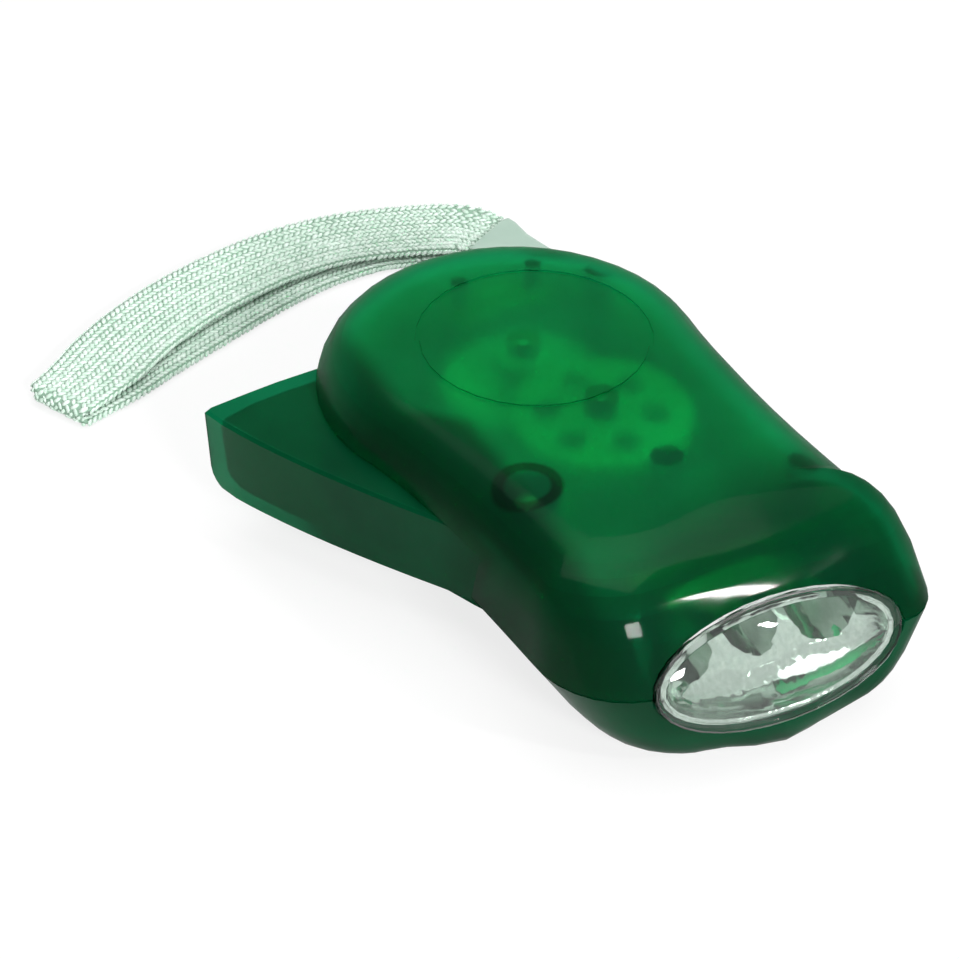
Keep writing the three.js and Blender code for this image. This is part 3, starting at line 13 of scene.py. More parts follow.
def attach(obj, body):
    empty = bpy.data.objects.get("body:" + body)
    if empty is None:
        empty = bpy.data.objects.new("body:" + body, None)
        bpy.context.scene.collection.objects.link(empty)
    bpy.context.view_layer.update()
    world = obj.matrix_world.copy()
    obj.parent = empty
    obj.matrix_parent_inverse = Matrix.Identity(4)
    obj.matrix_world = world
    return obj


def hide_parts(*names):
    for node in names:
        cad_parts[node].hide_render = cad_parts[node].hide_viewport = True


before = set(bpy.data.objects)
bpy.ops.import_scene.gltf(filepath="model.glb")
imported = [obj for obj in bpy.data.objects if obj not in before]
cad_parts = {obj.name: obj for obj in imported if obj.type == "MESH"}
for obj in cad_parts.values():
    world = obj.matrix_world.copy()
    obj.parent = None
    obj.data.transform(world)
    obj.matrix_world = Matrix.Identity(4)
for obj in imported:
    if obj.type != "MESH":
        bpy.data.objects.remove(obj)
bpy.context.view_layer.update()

MM = 0.001
PLAN_UNIT = 10 * MM
UP = Vector((0, 0, 1))

# The upright axes of the lever, the stepped gear and the rotor, in x and y.
PIVOT_AXIS = (16 * MM, -23.5 * MM)
STEP_AXIS = (-0.39 * MM, -2.52 * MM)
ROTOR_AXIS = (-18.45 * MM, -6.52 * MM)

# ---------------------------------------------------------------- camera

CAMERA_PLACE = Vector((276.11, -160.86, 265.4)) * MM
CAMERA_TARGET = Vector((-5.98, -20.23, 16.24)) * MM
CAMERA_ROLL = math.radians(0.31)
CAMERA_LENS = 98.306
SENSOR_WIDE = 36


def make_camera():
    """The camera at the photograph's place, rolled a little about its view."""
    back = (CAMERA_PLACE - CAMERA_TARGET).normalized()
    right = UP.cross(back).normalized()
    upward = back.cross(right)
    turn_right = right * math.cos(CAMERA_ROLL) + upward * math.sin(CAMERA_ROLL)
    turn_up = upward * math.cos(CAMERA_ROLL) - right * math.sin(CAMERA_ROLL)
    data = bpy.data.cameras.new("camera")
    data.lens = CAMERA_LENS
    data.sensor_width = SENSOR_WIDE
    camera = bpy.data.objects.new("camera", data)
    bpy.context.collection.objects.link(camera)
    rows = Matrix((turn_right, turn_up, back)).transposed().to_4x4()
    rows.translation = CAMERA_PLACE
    camera.matrix_world = rows
    bpy.context.scene.camera = camera


make_camera()

# ---------------------------------------------------------------- node trees as expressions


class Value:
    """One output socket of a node tree that takes part in sums."""

    def __init__(self, graph, socket):
        self.graph = graph
        self.socket = socket

    def _maths(self, operation, first, second):
        return self.graph.node("ShaderNodeMath", {"operation": operation}, {0: first, 1: second})

    def __add__(self, other):
        return self._maths("ADD", self, other)

    def __radd__(self, other):
        return self._maths("ADD", other, self)

    def __sub__(self, other):
        return self._maths("SUBTRACT", self, other)

    def __rsub__(self, other):
        return self._maths("SUBTRACT", other, self)

    def __mul__(self, other):
        return self._maths("MULTIPLY", self, other)

    def __rmul__(self, other):
        return self._maths("MULTIPLY", other, self)

    def __pow__(self, other):
        return self._maths("POWER", self, other)

    def wave(self):
        return self._maths("SINE", self, 0.0)

    def size(self):
        return self._maths("ABSOLUTE", self, 0.0)

    def most(self, other):
        return self._maths("MAXIMUM", self, other)

    def least(self, other):
        return self._maths("MINIMUM", self, other)


class Graph:
    """A shader or geometry tree, built node by node."""

    def __init__(self, tree):
        self.tree = tree

    def node(self, kind, settings=None, sockets=None, out=0):
        """Makes a node with its settings first, then its sockets, and gives one output."""
        made = self.tree.nodes.new(kind)
        for key, value in (settings or {}).items():
            setattr(made, key, value)
        for key, value in (sockets or {}).items():
            socket = made.inputs[key]
            if isinstance(value, Value):
                self.tree.links.new(value.socket, socket)
            else:
                socket.default_value = value
        return Value(self, made.outputs[out]) if len(made.outputs) else made

    def outs(self, value, *names):
        """Further outputs of the node behind a value."""
        made = value.socket.node
        return [Value(self, made.outputs[name]) for name in names]

    def parts(self, vector):
        split = self.node("ShaderNodeSeparateXYZ", sockets={0: vector})
        return self.outs(split, "X", "Y", "Z")

    def vector(self, x, y, z):
        return self.node("ShaderNodeCombineXYZ", sockets={"X": x, "Y": y, "Z": z})

    def mix(self, share, low, high):
        settings = {"data_type": "RGBA", "clamp_factor": True}
        return self.node("ShaderNodeMix", settings, {0: share, 6: low, 7: high}, out=2)

    def step(self, value, low, high):
        """0 at low, 1 at high, smooth between and level beyond."""
        settings = {"interpolation_type": "SMOOTHSTEP"}
        sockets = {"Value": value, "From Min": low, "From Max": high}
        return self.node("ShaderNodeMapRange", settings, sockets)


def colour(red, green, blue):
    return (red, green, blue, 1.0)


# ---------------------------------------------------------------- finishes


class Finish(Graph):
    """One surface finish, whose patterns lie in the piece's own coordinates."""

    def __init__(self, name, bump_distance=0.1 * MM):
        self.material = bpy.data.materials.new(name)
        self.material.use_nodes = True
        super().__init__(self.material.node_tree)
        self.tree.nodes.clear()
        self.output = self.tree.nodes.new("ShaderNodeOutputMaterial")
        self.place = self.node("ShaderNodeTexCoord", out="Object")
        self.bump_distance = bump_distance

    def noise(self, scale, detail=2.0, roughness=0.5):
        sockets = {
            "Vector": self.place,
            "Scale": scale,
            "Detail": detail,
            "Roughness": roughness,
        }
        return self.node("ShaderNodeTexNoise", sockets=sockets)

    def bump(self, height, strength):
        sockets = {"Height": height, "Strength": strength, "Distance": self.bump_distance}
        return self.node("ShaderNodeBump", sockets=sockets)

    def surface(self, sockets):
        shader = self.node("ShaderNodeBsdfPrincipled", sockets=sockets)
        self.tree.links.new(shader.socket, self.output.inputs["Surface"])
        return self.material


# Green plastic. Its low index keeps the pale surroundings out of its gloss, as the tint does.
GREEN_INDEX = 1.16
GREEN_SPECULAR = 0.02
SKIN_TINT = colour(0.1, 0.75, 0.45)
COAT_INDEX = 1.5
COAT_ROUGHNESS = 0.05
# The polish is faint, and fuller on the near half of the head.
COAT_LEAST, COAT_MORE = 0.04, 0.08
COAT_START, COAT_FULL = 26 * MM, 38 * MM
COAT_FADE, COAT_END = 1 * MM, 7 * MM

# Painted light and shade: the upper shell's colour is deep green in its steep walls and turns
# light as its faces come level, as if lit from above. These are the upright shares of a face's
# direction between which it turns.
WALL_LIE, LEVEL_LIE = 0.5, 0.97
# Painted shade makes it deeper towards the head, beyond a line that slants across the torch.
HEAD_START, HEAD_FULL = 24 * MM, 38 * MM
HEAD_SLANT = 0.35
HEAD_PAINTED_SHADE = 0.75
# Painted shade deepens its near flank too, whose edge lies further out on the lobe than on the
# neck.
FLANK_LOBE, FLANK_NECK = 31.5 * MM, 24.5 * MM
FLANK_TURN, FLANK_TURNED = -10 * MM, 0.0
FLANK_START, FLANK_FULL = -2 * MM, 2.5 * MM
FLANK_PAINTED_LIGHT = 0.1
LIGHT_CLOUD = 0.15
PAINTED_SHADE_GREEN = colour(0.0005, 0.16, 0.055)
# Painted shade: a dark ring painted into the shell's colour over the pivot's thick hub.
HUB_INNER, HUB_OUTER = 3.4 * MM, 5.2 * MM
HUB_SOFT_IN, HUB_SOFT_OUT = 0.4 * MM, 0.5 * MM
HUB_SHARE = 0.85
HUB_SHADE_GREEN = colour(0.001, 0.05, 0.02)


def painted_light_share(sheet, x, y):
    """Painted light: the share of light green, least in walls, in the head and along the flank."""
    facing = sheet.node("ShaderNodeNewGeometry", out="True Normal")
    lie = sheet.parts(facing)[2].size()
    head = sheet.step(x + HEAD_SLANT * y, HEAD_START, HEAD_FULL)
    neck = sheet.step(x, FLANK_TURN, FLANK_TURNED)
    flank = FLANK_LOBE - (FLANK_LOBE - FLANK_NECK) * neck
    inside = sheet.step(y + flank, FLANK_START, FLANK_FULL)
    level = sheet.step(lie, WALL_LIE, LEVEL_LIE) * (1.0 - HEAD_PAINTED_SHADE * head)
    return level * (FLANK_PAINTED_LIGHT + (1 - FLANK_PAINTED_LIGHT) * inside)


def painted_hub_shade(sheet, x, y):
    """1 over the painted dark ring above the pivot's hub, 0 elsewhere."""
    away = ((x - PIVOT_AXIS[0]) ** 2.0 + (y - PIVOT_AXIS[1]) ** 2.0) ** 0.5
    middle, wide = (HUB_INNER + HUB_OUTER) / 2, (HUB_OUTER - HUB_INNER) / 2
    return 1.0 - sheet.step((away - middle).size(), wide - HUB_SOFT_IN, wide + HUB_SOFT_OUT)


def green_plastic(name, low, high, through, roughness, shaded=False):
    """Translucent moulded plastic: clouded green under a polished skin, with painted shade or
    plain.
    """
    sheet = Finish(name)
    x, y = sheet.parts(sheet.place)[:2]
    cloud = sheet.noise(scale=45.0, detail=3.0)
    streak = sheet.noise(scale=420.0, detail=4.0, roughness=0.65)
    speck = sheet.noise(scale=2600.0)
    wiped = sheet.step(streak, 0.5, 0.85)
    body = sheet.mix(sheet.step(cloud, 0.3, 0.7), low, high)
    if shaded:
        # Painted light and shade in the colour, then the painted dark ring over the hub.
        light = painted_light_share(sheet, x, y) + LIGHT_CLOUD * (cloud - 0.5)
        body = sheet.mix(light, PAINTED_SHADE_GREEN, body)
        body = sheet.mix(painted_hub_shade(sheet, x, y) * HUB_SHARE, body, HUB_SHADE_GREEN)
    head = sheet.step(x, COAT_START, COAT_FULL)
    near = 1 - sheet.step(y, COAT_FADE, COAT_END)
    return sheet.surface(
        {
            "Base Color": body,
            "Roughness": roughness + 0.08 * wiped,
            "IOR": GREEN_INDEX,
            "Specular IOR Level": GREEN_SPECULAR,
            "Specular Tint": SKIN_TINT,
            "Transmission Weight": through,
            "Coat Weight": COAT_LEAST + COAT_MORE * head * near,
            "Coat Roughness": COAT_ROUGHNESS,
            "Coat IOR": COAT_INDEX,
            "Normal": sheet.bump(0.12 * streak + 0.1 * speck, strength=0.04),
        }
    )


CLEAR_INDEX = 1.49


def clear_plastic(name, tint, roughness=0.02, through=1.0):
    """Clear moulded plastic with a soft flow in its surface and a little dust."""
    sheet = Finish(name)
    flow = sheet.noise(scale=160.0, detail=1.0)
    dust = sheet.noise(scale=5200.0, detail=1.0)
    return sheet.surface(
        {
            "Base Color": tint,
            "Roughness": roughness + 0.14 * sheet.step(dust, 0.68, 0.75),
            "IOR": CLEAR_INDEX,
            "Transmission Weight": through,
            "Normal": sheet.bump(flow, strength=0.06),
        }
    )


def silvered_plastic():
    """Vacuum-silvered moulding: a soft ripple and fine haze under the metal."""
    sheet = Finish("silvered plastic", bump_distance=0.3 * MM)
    ripple = sheet.noise(scale=210.0)
    haze = sheet.noise(scale=1500.0, detail=3.0)
    return sheet.surface(
        {
            "Base Color": sheet.mix(haze, colour(0.42, 0.52, 0.45), colour(0.6, 0.69, 0.63)),
            "Metallic": 0.92,
            "Roughness": 0.06 + 0.12 * sheet.step(haze, 0.4, 0.8),
            "Normal": sheet.bump(ripple, strength=1.0),
        }
    )


def moulded(name, low, high, roughness, grain=1800.0, strength=0.15):
    """Solid moulded plastic with a faint grain and uneven gloss."""
    sheet = Finish(name)
    cloud = sheet.noise(scale=140.0, detail=3.0)
    fine = sheet.noise(scale=grain)
    return sheet.surface(
        {
            "Base Color": sheet.mix(cloud, low, high),
            "Roughness": roughness + 0.18 * fine,
            "Normal": sheet.bump(fine, strength),
        }
    )


def nylon():
    """Moulded gear nylon, which light enters a little."""
    sheet = Finish("moulded nylon")
    cloud = sheet.noise(scale=220.0, detail=3.0)
    fine = sheet.noise(scale=2400.0)
    return sheet.surface(
        {
            "Base Color": sheet.mix(cloud, colour(0.38, 0.38, 0.34), colour(0.48, 0.48, 0.44)),
            "Roughness": 0.38 + 0.2 * fine,
            "Subsurface Weight": 0.2,
            "Subsurface Scale": 1 * MM,
            "Normal": sheet.bump(fine, strength=0.2),
        }
    )


TOOL_RING_SPACING = 0.35 * MM


def turned_metal(name, low, high, roughness, centre, metallic=1.0):
    """Turned metal: tool rings round an upright axis at a centre, with faint stains."""
    sheet = Finish(name, bump_distance=0.04 * MM)
    x, y, z = sheet.parts(sheet.place)
    radius = ((x - centre[0]) ** 2.0 + (y - centre[1]) ** 2.0) ** 0.5
    turns = 2 * math.pi / TOOL_RING_SPACING
    rings = (radius * turns + z * turns).wave()
    stain = sheet.noise(scale=300.0, detail=4.0)
    fine = sheet.noise(scale=3000.0)
    return sheet.surface(
        {
            "Base Color": sheet.mix(sheet.step(stain, 0.3, 0.75), low, high),
            "Metallic": metallic,
            "Roughness": roughness + 0.15 * stain + 0.05 * rings,
            "Normal": sheet.bump(0.5 * rings + 0.5 * fine, strength=0.35),
        }
    )


WIRE_PITCH = 0.3 * MM


def wound_copper():
    """Enamelled wire seen as close-laid turns up the coil."""
    sheet = Finish("enamelled copper wire", bump_distance=0.12 * MM)
    z = sheet.parts(sheet.place)[2]
    turns = (z * (2 * math.pi / WIRE_PITCH)).wave().size()
    stain = sheet.noise(scale=500.0, detail=3.0)
    # The colour is dark in the groove between turns and bright on each crest: painted shade,
    # flecked by the stains.
    low, high = colour(0.34, 0.1, 0.03), colour(0.86, 0.4, 0.17)
    return sheet.surface(
        {
            "Base Color": sheet.mix(turns * (0.6 + 0.4 * stain), low, high),
            "Metallic": 0.9,
            "Roughness": 0.24 + 0.2 * stain,
            "Coat Weight": 0.6,
            "Coat Roughness": 0.1,
            "Normal": sheet.bump(turns, strength=0.9),
        }
    )


GLASS_WEAVE = 9000.0


def circuit_board():
    """Solder-masked board: glass weave, copper tracks under the mask and bare pads."""
    sheet = Finish("circuit board", bump_distance=0.05 * MM)
    x, y, z = sheet.parts(sheet.place)
    weave = (x * GLASS_WEAVE).wave() * (y * GLASS_WEAVE).wave() * (z * GLASS_WEAVE).wave()
    cells = sheet.node(
        "ShaderNodeTexVoronoi",
        {"distance": "MANHATTAN"},
        {"Vector": sheet.place, "Scale": 420.0, "Randomness": 0.75},
    )
    edge = sheet.step(cells, 0.34, 0.4)
    pad = sheet.step(cells, 0.14, 0.1)
    mask = sheet.mix(edge, colour(0.012, 0.12, 0.035), colour(0.02, 0.2, 0.06))
    return sheet.surface(
        {
            "Base Color": sheet.mix(pad, mask, colour(0.78, 0.76, 0.68)),
            "Metallic": pad,
            "Roughness": 0.3 + 0.1 * weave,
            "Coat Weight": 0.5,
            "Coat Roughness": 0.15,
            "Normal": sheet.bump(0.5 * edge + 0.2 * weave, strength=0.6),
        }
    )


def webbing():
    """Pale grey-green yarn: fine filaments along each stitch, uneven in tone, a little soiled."""
    sheet = Finish("pale green webbing", bump_distance=0.06 * MM)
    soil = sheet.noise(scale=90.0, detail=3.0)
    tone = sheet.step(sheet.noise(scale=900.0), 0.3, 0.7)
    thread = sheet.noise(scale=7000.0)
    base = sheet.mix(tone, colour(0.51, 0.69, 0.57), colour(0.72, 0.84, 0.76))
    base = sheet.mix(0.3 * sheet.step(soil, 0.45, 0.75), base, colour(0.42, 0.6, 0.48))
    return sheet.surface(
        {
            "Base Color": base,
            "Roughness": 0.5 + 0.3 * thread,
            "Sheen Weight": 0.3,
            "Sheen Roughness": 0.4,
            "Normal": sheet.bump(thread, strength=0.7),
        }
    )


def webbing_core_in_painted_shade():
    """The yarn that shows between the stitches, painted darker as the shade between them."""
    sheet = Finish("webbing core")
    thread = sheet.noise(scale=5000.0)
    return sheet.surface(
        {
            "Base Color": sheet.mix(thread, colour(0.2, 0.33, 0.24), colour(0.3, 0.45, 0.35)),
            "Roughness": 0.85,
            "Normal": sheet.bump(thread, strength=0.8),
        }
    )


BACKDROP_SHARE = 0.8
BACKDROP_GLOSS = 0.6


def table_top():
    """White table that takes the torch's shadow.

    To the camera, to gloss and to clear parts it reads as the white backdrop.
    """
    sheet = Finish("white table")
    fine = sheet.noise(scale=40.0, detail=3.0)
    path = sheet.node("ShaderNodeLightPath", out="Is Camera Ray")
    glossy, through = sheet.outs(path, "Is Glossy Ray", "Is Transmission Ray")
    white = sheet.mix(fine, colour(0.86, 0.86, 0.86), colour(0.9, 0.9, 0.9))
    matte = sheet.node("ShaderNodeBsdfPrincipled", sockets={"Base Color": white, "Roughness": 0.9})
    backdrop = sheet.node(
        "ShaderNodeEmission", sockets={"Color": colour(1, 1, 1), "Strength": 1.0}
    )
    seen = path.most(through).most(glossy * BACKDROP_GLOSS) * BACKDROP_SHARE
    both = sheet.node("ShaderNodeMixShader", sockets={0: seen, 1: matte, 2: backdrop})
    sheet.tree.links.new(both.socket, sheet.output.inputs["Surface"])
    return sheet.material


# The upper shell, whose colour holds painted light and shade.
GREEN_SHELL_PAINTED_SHADE = green_plastic(
    "translucent green shell",
    colour(0.001, 0.5, 0.165),
    colour(0.002, 0.61, 0.21),
    through=0.93,
    roughness=0.5,
    shaded=True,
)
# The lower shell is the same green painted far darker: painted shade under the torch.
GREEN_BASE_PAINTED_SHADE = green_plastic(
    "translucent green base",
    colour(0.001, 0.06, 0.022),
    colour(0.001, 0.09, 0.032),
    through=0.66,
    roughness=0.32,
)
GREEN_LEVER = green_plastic(
    "deep green lever",
    colour(0.001, 0.14, 0.055),
    colour(0.002, 0.19, 0.075),
    through=0.82,
    roughness=0.3,
)
LENS_CLEAR = clear_plastic("clear lens", colour(0.97, 0.99, 0.98))
LAMP_CLEAR = clear_plastic("clear lamp", colour(0.84, 0.93, 0.87), roughness=0.03, through=0.35)
LEAD_FRAME = moulded(
    "plated lead frame",
    colour(0.6, 0.62, 0.6),
    colour(0.8, 0.82, 0.8),
    roughness=0.25,
    grain=900.0,
    strength=0.3,
)
SILVERED = silvered_plastic()
REFLECTOR_BACK = moulded(
    "bare reflector back", colour(0.05, 0.055, 0.055), colour(0.09, 0.1, 0.1), roughness=0.45
)
NYLON = nylon()
BLACK = moulded(
    "black moulded plastic",
    colour(0.012, 0.012, 0.013),
    colour(0.03, 0.03, 0.032),
    roughness=0.4,
)
WRAP = moulded(
    "dark shrink wrap",
    colour(0.014, 0.018, 0.03),
    colour(0.03, 0.036, 0.05),
    roughness=0.18,
    grain=900.0,
    strength=0.3,
)
RED = moulded(
    "red wire cover", colour(0.4, 0.02, 0.02), colour(0.52, 0.04, 0.035), roughness=0.35
)
PALE = moulded(
    "pale moulded plastic",
    colour(0.3, 0.42, 0.35),
    colour(0.4, 0.53, 0.45),
    roughness=0.34,
    grain=1600.0,
    strength=0.25,
)
FERRITE = moulded(
    "dull ferrite",
    colour(0.03, 0.03, 0.033),
    colour(0.07, 0.07, 0.075),
    roughness=0.5,
    grain=1200.0,
    strength=0.5,
)
COPPER = wound_copper()
BOARD = circuit_board()
WEBBING = webbing()
AXLE_STEEL = {
    node: turned_metal(
        "turned steel " + node,
        colour(0.42, 0.42, 0.43),
        colour(0.72, 0.72, 0.74),
        roughness=0.2,
        centre=centre,
    )
    for node, centre in {
        "pivot_pin": PIVOT_AXIS,
        "step_axle": STEP_AXIS,
        "rotor_axle": ROTOR_AXIS,
    }.items()
}
SPRING_STEEL = turned_metal(
    "spring steel",
    colour(0.4, 0.4, 0.41),
    colour(0.68, 0.68, 0.7),
    roughness=0.22,
    centre=PIVOT_AXIS,
)
PLATED_IRON = turned_metal(
    "plated iron",
    colour(0.6, 0.6, 0.58),
    colour(0.78, 0.78, 0.76),
    roughness=0.36,
    centre=ROTOR_AXIS,
    metallic=0.5,
)
CLAW_PLATE = turned_metal(
    "claw plate",
    colour(0.32, 0.32, 0.33),
    colour(0.58, 0.58, 0.6),
    roughness=0.32,
    centre=ROTOR_AXIS,
)
SCREW_STEEL = turned_metal(
    "screw steel",
    colour(0.3, 0.3, 0.31),
    colour(0.6, 0.6, 0.62),
    roughness=0.25,
    centre=(0, 0),
)

# ---------------------------------------------------------------- shapes

MERGE_DISTANCE = 0.002 * MM


def new_piece(name, mesh, material, body="housing"):
    piece = bpy.data.objects.new(name, mesh)
    bpy.context.collection.objects.link(piece)
    mesh.materials.clear()
    mesh.materials.append(material)
    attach(piece, body)
    return piece


def smooth_shaded(mesh, angle):
    """Shades a mesh smooth, with hard edges where faces meet at more than an angle in degrees."""
    form = bmesh.new()
    form.from_mesh(mesh)
    for face in form.faces:
        face.smooth = True
    for edge in form.edges:
        flat_enough = edge.calc_face_angle(0) < math.radians(angle)
        edge.smooth = len(edge.link_faces) == 2 and flat_enough
    form.to_mesh(mesh)
    form.free()


def dressed_copy(node, name, material, body="housing", angle=32.0):
    """A merged, smooth-shaded copy of a CAD node, which it stands for."""
    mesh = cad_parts[node].data.copy()
    mesh.name = name
    form = bmesh.new()
    form.from_mesh(mesh)
    bmesh.ops.remove_doubles(form, verts=form.verts, dist=MERGE_DISTANCE)
    bmesh.ops.dissolve_degenerate(form, edges=form.edges, dist=MERGE_DISTANCE)
    form.to_mesh(mesh)
    form.free()
    smooth_shaded(mesh, angle)
    piece = new_piece(name, mesh, material, body)
    weighted = piece.modifiers.new("even shading", "WEIGHTED_NORMAL")
    weighted.keep_sharp = True
    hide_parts(node)
    return piece


def skinned(form, rings):
    """Faces through equal rings of points, closed at both ends; gives the ends and the sides."""
    rows = [[form.verts.new(point) for point in ring] for ring in rings]
    count = len(rows[0])
    ends = [form.faces.new(list(reversed(rows[0]))), form.faces.new(rows[-1])]
    sides = []
    for low, high in zip(rows, rows[1:]):
        for i in range(count):
            after = (i + 1) % count
            sides.append(form.faces.new((low[i], low[after], high[after], high[i])))
    return ends, sides


def loft(name, rings, angle):
    """A smooth-shaded mesh through equal rings of points."""
    form = bmesh.new()
    skinned(form, rings)
    bmesh.ops.recalc_face_normals(form, faces=form.faces)
    mesh = bpy.data.meshes.new(name)
    form.to_mesh(mesh)
    form.free()
    smooth_shaded(mesh, angle)
    return mesh


def curve_point(a, b, c, d, t):
    """A point between b and c on the smooth curve through four knots."""
    bend = (2 * a - 5 * b + 4 * c - d) * t**2
    return 0.5 * (2 * b + (c - a) * t + bend + (3 * b - a - 3 * c + d) * t**3)


def spline(points, steps):
    """Evenly spaced points and directions on a smooth curve through points, and its length."""
    knots = [points[0] * 2 - points[1], *points, points[-1] * 2 - points[-2]]
    fine = 40
    dense = []
    for four in zip(knots, knots[1:], knots[2:], knots[3:]):
        dense.extend(curve_point(*four, i / fine) for i in range(fine))
    dense.append(points[-1].copy())
    far = [0.0]
    for a, b in zip(dense, dense[1:]):
        far.append(far[-1] + (b - a).length)
    found = []
    index = 0
    for i in range(steps + 1):
        want = far[-1] * i / steps
        while index < len(dense) - 2 and far[index + 1] < want:
            index += 1
        span = max(far[index + 1] - far[index], 1e-12)
        share = min(max((want - far[index]) / span, 0), 1)
        ahead = (dense[index + 1] - dense[index]).normalized()
        found.append((dense[index].lerp(dense[index + 1], share), ahead))
    return found, far[-1]


def eased(value, low, high):
    """0 below low, 1 above high, smooth between."""
    share = min(max((value - low) / (high - low), 0.0), 1.0)
    return share * share * (3 - 2 * share)


def turn_angles(count, offset=0.0):
    """Angles evenly round a circle, started a share of one step on."""
    return [2 * math.pi * (i + offset) / count for i in range(count)]


# ---------------------------------------------------------------- growing pieces from a tree


def tree_with(name, inputs):
    """An empty geometry tree with one geometry in and out and named inputs."""
    tree = bpy.data.node_groups.new(name, "GeometryNodeTree")
    tree.interface.new_socket("Geometry", in_out="INPUT", socket_type="NodeSocketGeometry")
    for label, value in inputs.items():
        socket = tree.interface.new_socket(label, in_out="INPUT", socket_type="NodeSocketFloat")
        socket.default_value = value
    tree.interface.new_socket("Geometry", in_out="OUTPUT", socket_type="NodeSocketGeometry")
    graph = Graph(tree)
    entry = graph.node("NodeGroupInput")
    return graph, entry, graph.outs(entry, *inputs)


def finish_tree(graph, geometry, material):
    solid = graph.node("GeometryNodeRealizeInstances", sockets={0: geometry})
    sockets = {0: solid, "Material": material}
    coloured = graph.node("GeometryNodeSetMaterial", sockets=sockets)
    graph.node("NodeGroupOutput", sockets={0: coloured})
    return graph.tree


def grown(name, source, tree, inputs):
    """The plain mesh that a geometry tree makes from a source mesh."""
    holder = bpy.data.objects.new(name + " source", source)
    bpy.context.collection.objects.link(holder)
    modifier = holder.modifiers.new("grow", "NODES")
    modifier.node_group = tree
    for item in tree.interface.items_tree:
        if item.item_type == "SOCKET" and item.in_out == "INPUT" and item.name in inputs:
            modifier[item.identifier] = inputs[item.name]
    bpy.context.view_layer.update()
    graph = bpy.context.evaluated_depsgraph_get()
    mesh = bpy.data.meshes.new_from_object(holder.evaluated_get(graph), depsgraph=graph)
    mesh.name = name
    bpy.data.objects.remove(holder)
    return mesh


# ---------------------------------------------------------------- wrist strap

STRAP_WIDE = 16 * MM
STRAP_FOLD_WIDE = 13.6 * MM
STRAP_THICKNESS = 1.6 * MM
STRAP_SPACE = 0.55 * MM
STRAP_SEAT = 0.3 * MM
STRAP_LEAD = 3.2 * MM
STRAP_PINCH_SHARE = 0.07
STRAP_DRAWN_SHARE = 0.85
FERRULE_START = Vector((-8.4, 2.05, 0)) * PLAN_UNIT
FERRULE_END = Vector((-7.15, 2.78, 0)) * PLAN_UNIT
FERRULE_WIDE = 13.5 * MM
STRAP_LOWER = [
    (-8.93, 1.64),
    (-9.18, 0.95),
    (-9.4, 0),
    (-9.28, -1.3),
    (-8.9, -2.55),
    (-8.4, -3.8),
    (-7.92, -4.95),
    (-7.48, -5.85),
    (-7.16, -6.6),
]
STRAP_UPPER = [
    (-7.16, -6.6),
    (-7.64, -5.85),
    (-8.4, -4.8),
    (-8.97, -3.7),
    (-9.29, -2.78),
    (-9.54, -1.75),
    (-9.6, -0.67),
    (-9.46, 0.2),
    (-9.23, 1),
    (-8.97, 1.62),
]
FOLD_ROUNDING = 1.3 * MM
FOLD_STEPS = 7
CORE_STEPS = 70
CORE_THICKNESS = 0.9 * MM
CORE_SIDES = 20
CORE_FLAT_SHAPE, CORE_EDGE_SHAPE = 0.35, 0.6
COLUMN_SPACING = 1.25 * MM
ROW_SPACING = 1.12 * MM
ROW_SHIFT = 0.25
ROW_WOBBLE = 0.14
STITCH_STEPS = 150
STITCH_SIZES = {
    "Stitch length": 1.92 * MM,
    "Stitch width": 0.95 * MM,
    "Stitch height": 0.6 * MM,
}
STITCH_SLANT = 0.8
STITCH_INSET = 0.3 * MM
STITCH_LEAST, STITCH_VARIES = 0.88, 0.24
STITCH_UPRIGHT = 0.25
STITCH_EDGE = 0.22
RIB_HEIGHT = 0.04 * MM


def strap_run(points, height, steps):
    """One run of the strap as points and directions at a height, and its length."""
    line, length = spline(points, steps)
    return [(place + UP * height, ahead) for place, ahead in line], length


def half_width(share):
    """Half the width at a share of one run, pinched at the ferrule and drawn in at the fold."""
    pinched = FERRULE_WIDE + (STRAP_WIDE - FERRULE_WIDE) * eased(share, 0, STRAP_PINCH_SHARE)
    return (pinched + (STRAP_FOLD_WIDE - pinched) * eased(share, STRAP_DRAWN_SHARE, 1)) / 2


def strap_sections(steps):
    """Centre, width direction, face direction, half width and distance along, out and back."""
    low = STRAP_THICKNESS / 2
    rise = STRAP_THICKNESS + STRAP_SPACE
    mouth = (FERRULE_END - FERRULE_START).normalized()
    seat = [FERRULE_START - mouth * reach for reach in (STRAP_SEAT, STRAP_LEAD)]
    under = [Vector((x, y, 0)) * PLAN_UNIT for x, y in STRAP_LOWER]
    over = [Vector((x, y, 0)) * PLAN_UNIT for x, y in STRAP_UPPER]
    out, out_length = strap_run(seat + under, low, steps)
    back, back_length = strap_run(over + seat[::-1], low + rise, steps)
    fold_length = math.pi * rise / 2
    sections = []
    for i, (place, ahead) in enumerate(out):
        share = i / steps
        sections.append((place, UP.cross(ahead), UP.copy(), half_width(share), out_length * share))
    for i in range(1, FOLD_STEPS):
        angle = math.pi * i / FOLD_STEPS
        share = i / FOLD_STEPS
        ahead = out[-1][1].lerp(-back[0][1], share).normalized()
        place = out[-1][0].lerp(back[0][0], share)
        place.z = low + rise / 2 * (1 - math.cos(angle))
        place += ahead * (rise / 2 * math.sin(angle))
        face = UP * math.cos(angle) - ahead * math.sin(angle)
        along = out_length + fold_length * share
        half = STRAP_FOLD_WIDE / 2 - FOLD_ROUNDING * math.sin(angle)
        sections.append((place, UP.cross(ahead), face, half, along))
    for i, (place, ahead) in enumerate(back):
        share = i / steps
        along = out_length + fold_length + back_length * share
        sections.append((place, -UP.cross(ahead), -UP, half_width(1 - share), along))
    return sections


